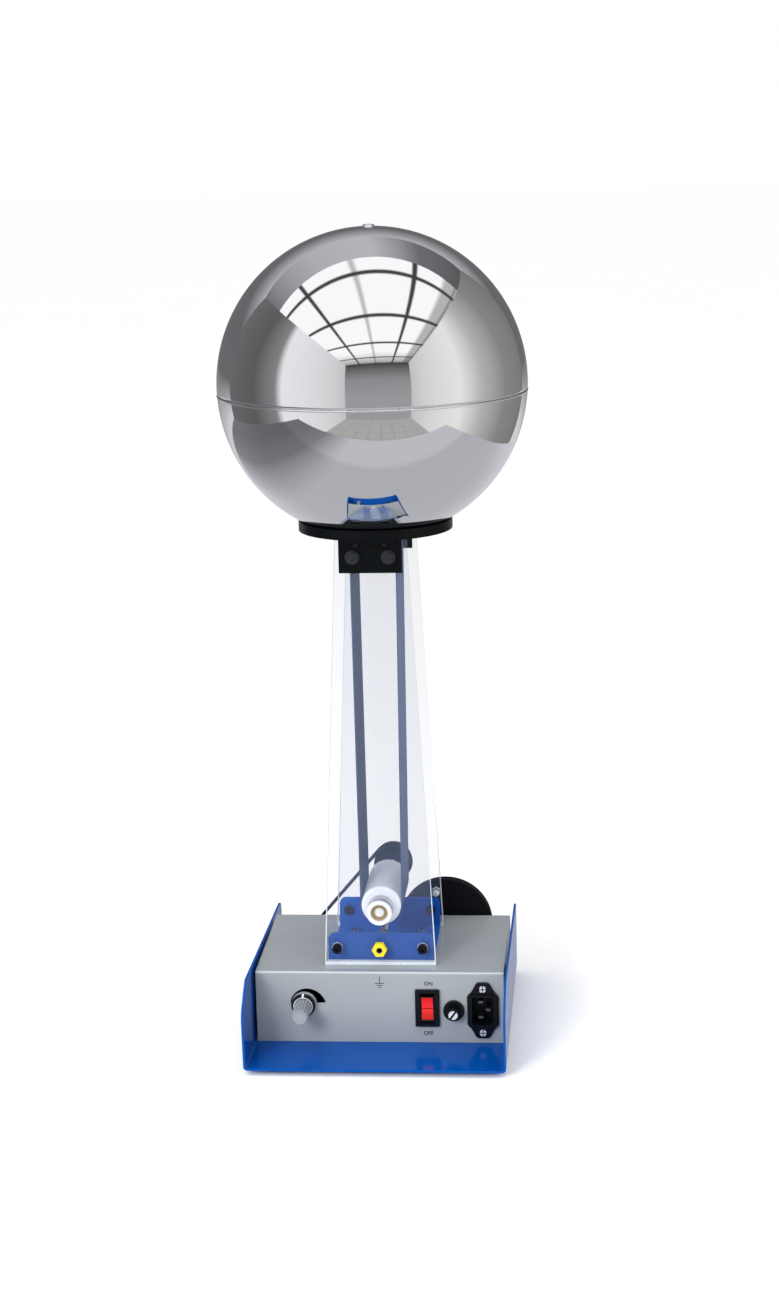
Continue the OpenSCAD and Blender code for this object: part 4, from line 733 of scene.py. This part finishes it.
# %% The cap's slotted plate
PLATE_R, PLATE_H, SLOT_HALF = 4.0 * MM, 1.2 * MM, 0.9 * MM
PLATE_SINK = 1.25 * MM
SLOT_TURN = math.radians(-35)
plate = bmesh.new()
bmesh.ops.create_circle(plate, cap_ends=True, segments=48, radius=PLATE_R)
for side in (-1, 1):
    bmesh.ops.bisect_plane(plate, geom=plate.verts[:] + plate.edges[:] + plate.faces[:],
                           plane_co=(side * SLOT_HALF, 0, 0), plane_no=(1, 0, 0))
strip = [f for f in plate.faces if abs(f.calc_center_median().x) < SLOT_HALF / 2]
bmesh.ops.delete(plate, geom=strip, context="FACES")
lift(plate, plate.faces[:], PLATE_H)
bmesh.ops.rotate(plate, matrix=Matrix.Rotation(SLOT_TURN, 3, "Z"), verts=plate.verts)
facing_panel(plate, Vector((FUSE.x, cap_low.y + PLATE_SINK, FUSE.z)))
finishes["fuse_plate"] = bright_zinc
new_piece("fuse_cap_plate", plate, "fuse_plate", "fuse_cap", smooth=False)
print("slot", round(2 * SLOT_HALF, 4), "wide")

# %% [markdown]
# ## Marks on the panel
# The panel carries only plain marks: ON and OFF at the switch, the earth symbol under the
# tower, and a black crescent round the speed knob that widens towards full speed. They are
# printed, so each is a flat skin a few hundredths of a millimetre in front of the paint.

# %% Ink, letters and bars
finishes["box_print"] = Finish("panel_ink", (0.02, 0.02, 0.022), 0.5)
finishes["box_print"].cloud(2 * MM, 0.1, 0.05)
PANEL_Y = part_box("control_box")[0].y
INK = 0.06 * MM
LETTER_H, BOLDER = 3.6 * MM, 0.02


def printed(name, bm):
    """Turns a flat drawing in X and Z into ink on the panel."""
    bmesh.ops.solidify(bm, geom=bm.faces[:], thickness=0.5 * INK)
    mesh = bpy.data.meshes.new(name)
    bm.to_mesh(mesh)
    bm.free()
    mesh.materials.append(finishes["box_print"].material)
    mark = bpy.data.objects.new(name, mesh)
    bpy.context.scene.collection.objects.link(mark)
    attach(mark, "base")


def word(name, text, centre_x, centre_z):
    """A word as a mesh, in letters of one height, centred on a point of the panel."""
    curve = bpy.data.curves.new(name, "FONT")
    curve.body = text
    curve.align_x, curve.align_y = "CENTER", "CENTER"
    curve.offset = BOLDER
    drawn = bpy.data.objects.new(name, curve)
    bpy.context.scene.collection.objects.link(drawn)
    bpy.context.view_layer.update()
    flat = bpy.data.meshes.new_from_object(drawn.evaluated_get(bpy.context.evaluated_depsgraph_get()))
    bpy.data.objects.remove(drawn)
    bm = bmesh.new()
    bm.from_mesh(flat)
    low = min(v.co.y for v in bm.verts)
    high = max(v.co.y for v in bm.verts)
    scale = LETTER_H / (high - low)
    bmesh.ops.translate(bm, vec=(0, -(low + high) / 2, 0), verts=bm.verts)
    bmesh.ops.scale(bm, vec=(scale, scale, scale), verts=bm.verts)
    facing_panel(bm, Vector((centre_x, PANEL_Y - INK, centre_z)))
    printed(name, bm)


def bar(bm, x, z, width, height):
    """A printed bar with its centre at x and z."""
    made = bmesh.ops.create_grid(bm, x_segments=1, y_segments=1, size=0.5)["verts"]
    bmesh.ops.scale(bm, vec=(width, height, 1), verts=made)
    bmesh.ops.rotate(bm, matrix=Matrix.Rotation(math.radians(90), 3, "X"), verts=made)
    bmesh.ops.translate(bm, vec=(x, PANEL_Y - INK, z), verts=made)


print("panel front at", round(PANEL_Y, 4))

# %% ON, OFF and the earth symbol
EARTH_X, STROKE = 0.3 * MM, 0.7 * MM
STEM_Z, STEM_H = 63.4 * MM, 6.0 * MM
EARTH_BARS = ((60.2, 8.4), (58.2, 5.4), (56.2, 2.6))
word("mark_on", "ON", 42.9 * MM, 60.2 * MM)
word("mark_off", "OFF", 42.4 * MM, 14.6 * MM)
symbol = bmesh.new()
bar(symbol, EARTH_X, STEM_Z, STROKE, STEM_H)
for z, width in EARTH_BARS:
    bar(symbol, EARTH_X, z * MM, width * MM, STROKE)
printed("mark_earth", symbol)
print("marks: on, off, earth")

# %% The crescent round the speed knob
SLOW_END, FAST_END = math.radians(176), math.radians(4)
INNER_START, INNER_GROWTH = 10.6 * MM, 1.0 * MM
OUTER_START, OUTER_GROWTH = 11.8 * MM, 7.6 * MM
crescent = bmesh.new()
bmesh.ops.create_grid(crescent, x_segments=60, y_segments=2, size=0.5)
for vert in crescent.verts:
    along, across = vert.co.x + 0.5, vert.co.y + 0.5
    angle = SLOW_END + (FAST_END - SLOW_END) * along
    inner = INNER_START + INNER_GROWTH * along
    outer = OUTER_START + OUTER_GROWTH * along ** 2
    radius = inner + (outer - inner) * across
    vert.co = (KNOB.x + radius * math.cos(angle), PANEL_Y - INK, KNOB.z + radius * math.sin(angle))
printed("mark_speed", crescent)
print("crescent drawn round", round(KNOB.x, 4), round(KNOB.z, 4))

# %% [markdown]
# ## Floor and light
# The machine stood on a white sweep, lit evenly from all sides. So the floor is plain and pale,
# the world is white, and two softboxes add a little shape: a large one overhead and a smaller,
# stronger one at the front left, which gives the knob its shadow. Mirrors don't show the floor,
# because they see the room that comes next. The photograph's tones are plain ones, so the
# picture is shown without a film curve.


# %% Floor and world
FLOOR_DROP = 0.5 * MM


def stage_plane(name, centre, size, facing, material, spin=0.0):
    """A flat panel that isn't part of the object."""
    bm = bmesh.new()
    bmesh.ops.create_grid(bm, x_segments=1, y_segments=1, size=0.5)
    bmesh.ops.scale(bm, vec=(size[0], size[1], 1), verts=bm.verts)
    turned = Vector(facing).to_track_quat("Z", "Y").to_matrix().to_4x4()
    bmesh.ops.transform(bm, matrix=Matrix.Translation(centre) @ turned, verts=bm.verts)
    mesh = bpy.data.meshes.new(name)
    bm.to_mesh(mesh)
    bm.free()
    mesh.materials.append(material)
    panel = bpy.data.objects.new(name, mesh)
    panel.matrix_world = Matrix.Rotation(spin, 4, "Z")
    bpy.context.scene.collection.objects.link(panel)
    return panel


floor_finish = Finish("pale_floor", (0.99, 0.99, 0.99), 0.6, Specular_IOR_Level=0.0)
floor_finish.cloud(0.4, 0.005, 0.02)
floor = stage_plane("floor", (0, 0, -FLOOR_DROP), (30, 30), (0, 0, 1), floor_finish.material)
floor.visible_glossy = False
world = bpy.data.worlds.new("studio")
bpy.context.scene.world = world
world.use_nodes = True
world.node_tree.nodes["Background"].inputs["Color"].default_value = (1, 1, 1, 1)
world.node_tree.nodes["Background"].inputs["Strength"].default_value = 1.0
bpy.context.scene.view_settings.view_transform = "Standard"
print("floor laid, world white")


# %% Softboxes
def softbox(name, place, size, watts):
    """A square lamp that lights the machine, and that no mirror shows."""
    lamp = bpy.data.lights.new(name, "AREA")
    lamp.size, lamp.energy = size, watts
    box = bpy.data.objects.new(name, lamp)
    aim = (Vector((0, 0, 0.3)) - Vector(place)).to_track_quat("-Z", "Y").to_matrix().to_4x4()
    box.matrix_world = Matrix.Translation(place) @ aim
    box.visible_camera = box.visible_glossy = False
    bpy.context.scene.collection.objects.link(box)


softbox("softbox_above", (-0.3, -0.6, 1.9), 1.4, 8)
softbox("softbox_key", (-0.85, -2.0, 1.1), 0.6, 26)

# %% [markdown]
# ## What the mirror sees
# A mirror ball is all reflection, so it needs a room round it. Plain panels stand in for one:
# a bright ceiling with dark bars, grey walls, a table and a darker floor beyond it. They are
# seen in reflections alone, and neither light the machine nor show to the camera. The room
# stands a little askew to the machine, as the bars in the photographed dome show.

# %% The room's walls and its glowing panels
ROOM_TURN = math.radians(11)
CEILING, GROUND = 2.03, -0.75
LEFT, RIGHT, FAR, NEAR, BACK = -1.78, 1.52, -3.77, 0.44, 1.6


def room_panel(name, centre, size, facing, tone, tint=(1, 1, 1)):
    """A glowing panel that only reflections see: tone makes a sum on its coordinates."""
    paint = Finish(name, (0, 0, 0), 1.0, Specular_IOR_Level=0.0)
    paint.set("Emission Color", (*tint, 1))
    paint.set("Emission Strength", tone(paint))
    panel = stage_plane(name, centre, size, facing, paint.material, ROOM_TURN)
    panel.visible_camera = panel.visible_diffuse = panel.visible_transmission = False
    panel.visible_shadow = False


def ramp(wire, low, high, *stops):
    """A grey that follows a wire from low to high through stops of value and tone."""
    share = wire.node("ShaderNodeMapRange", None, 0, i0=wire, i1=low, i2=high)
    placed = [((at - low) / (high - low), tone) for at, tone in stops]
    return wire.node("ShaderNodeValToRGB", {"stops": placed}, 0, i0=share)


def lines(wire, pitch, half_width, soft):
    """0 on lines that lie a fixed pitch apart, 1 between them."""
    return step(wire.math("PINGPONG", pitch / 2), half_width, soft)


print("room", round(RIGHT - LEFT, 2), "by", round(BACK - FAR, 2), "high", round(CEILING - GROUND, 2))

# %% [markdown]
# ## Tones of the room
# Each tone is a short list of places, in metres across the room, and the grey there. The walls
# are brightest beside the reader and fall off behind the machine, where the dome's rim looks.
# The ceiling's fields are windows between bars, and the floor has faint joints.


# %% Ceiling and ground
CROSS_BARS = {"pitch": 1.05, "half_width": 0.03, "soft": 0.04}
LONG_BARS = {"pitch": 1.65, "half_width": 0.025, "soft": 0.03}
FAINT_BARS = {"pitch": 1.65, "half_width": 0.012, "soft": 0.05}
LONG_SHIFT, CROSS_SHIFT, FAINT_SHIFT = 1.02, 3.12, 0.195
TILE, JOINT_HALF, JOINT_SOFT = 0.4, 0.006, 0.012


def barred(paint):
    """Bright ceiling fields between dark bars, with a fainter bar down the middle of each."""
    x, y = axis_of(paint, 0), axis_of(paint, 1)
    strong = lines(x + LONG_SHIFT, **LONG_BARS) * lines(y + CROSS_SHIFT, **CROSS_BARS)
    faint = lines(x + FAINT_SHIFT, **FAINT_BARS) * 0.5 + 0.5
    shaded_end = ramp(x, LEFT, RIGHT, (1.1, 1.0), (1.2, 0.45))
    far_end = ramp(y, FAR, NEAR, (-3.77, 0.3), (-2.6, 1.0))
    return strong * faint * shaded_end * far_end * 1.02 + 0.06


def ceiling_back(paint):
    """The ceiling behind the machine, pale in its middle."""
    across = axis_of(paint, 0)
    return ramp(across, LEFT, RIGHT, (-1.78, 0.2), (-0.6, 0.5), (0.1, 0.55), (0.7, 0.18), (1.5, 0.12))


def tiled(paint):
    """A grey floor with faint joints."""
    joints_x = lines(axis_of(paint, 0), TILE, JOINT_HALF, JOINT_SOFT)
    joints_y = lines(axis_of(paint, 1), TILE, JOINT_HALF, JOINT_SOFT)
    return joints_x * joints_y * 0.1 + 0.34


middle_x, middle_y, depth = (LEFT + RIGHT) / 2, (FAR + BACK) / 2, BACK - FAR
wide = RIGHT - LEFT
front_middle, back_middle = (FAR + NEAR) / 2, (NEAR + BACK) / 2
room_panel("room_ceiling", (middle_x, front_middle, CEILING), (wide, NEAR - FAR), (0, 0, -1), barred)
room_panel("room_ceiling_back", (middle_x, back_middle, CEILING), (wide, BACK - NEAR), (0, 0, -1),
           ceiling_back, (0.95, 0.94, 1.0))
room_panel("room_ground", (middle_x, 0, GROUND), (8, 9), (0, 0, 1), tiled, (1, 0.99, 0.97))
print("ceiling at", CEILING, "ground at", GROUND)


# %% Walls and table
TABLE_DROP = 0.3 * MM


def far_wall(paint):
    """The wall beyond the camera, darker under the ceiling."""
    return ramp(axis_of(paint, 2), GROUND, CEILING, (0.3, 0.37), (1.2, 0.3), (1.7, 0.16), (2.0, 0.06))


def left_wall(paint):
    """Bright until beside the machine, then dark."""
    along = axis_of(paint, 1)
    return ramp(along, FAR, BACK, (-3.77, 0.62), (-0.55, 0.9), (-0.35, 0.26), (0.3, 0.12), (1.6, 0.16))


def right_wall(paint):
    """Bright until beside the machine, then slowly darker."""
    along = axis_of(paint, 1)
    return ramp(along, FAR, BACK, (-3.77, 0.6), (-0.9, 0.88), (-0.3, 0.5), (0.4, 0.27), (1.6, 0.2))


def back_wall(paint):
    """The wall behind the machine, dark at the dome's own height."""
    upward = axis_of(paint, 2)
    return ramp(upward, GROUND, CEILING, (0.05, 0.7), (0.5, 0.16), (1.2, 0.15), (1.7, 0.36), (2.0, 0.5))


def table_top(paint):
    """A pale cloth towards the reader, plain in the middle, in shade to the left."""
    across, along = axis_of(paint, 0), axis_of(paint, 1)
    cloth = ramp(along, -0.9, 1.5, (-0.9, 0.6), (-0.5, 0.6), (-0.42, 0.5), (0.2, 0.52), (0.9, 0.66))
    return cloth * ramp(across, -1.65, 1.05, (-1.2, 0.3), (-0.75, 0.4), (-0.35, 1.0))


high, wall_z = CEILING - GROUND, (CEILING + GROUND) / 2
room_panel("room_far_wall", (middle_x, FAR, wall_z), (wide, high), (0, 1, 0), far_wall, (0.97, 0.97, 1.0))
room_panel("room_left_wall", (LEFT, middle_y, wall_z), (depth, high), (1, 0, 0), left_wall, (0.99, 0.98, 1.0))
room_panel("room_right_wall", (RIGHT, middle_y, wall_z), (depth, high), (-1, 0, 0), right_wall,
           (1, 0.98, 0.96))
room_panel("room_back_wall", (middle_x, BACK, wall_z), (wide, high), (0, -1, 0), back_wall,
           (0.95, 0.95, 1.0))
room_panel("room_table", (-0.3, 0.3, -TABLE_DROP), (2.7, 2.4), (0, 0, 1), table_top, (0.94, 0.94, 1.0))
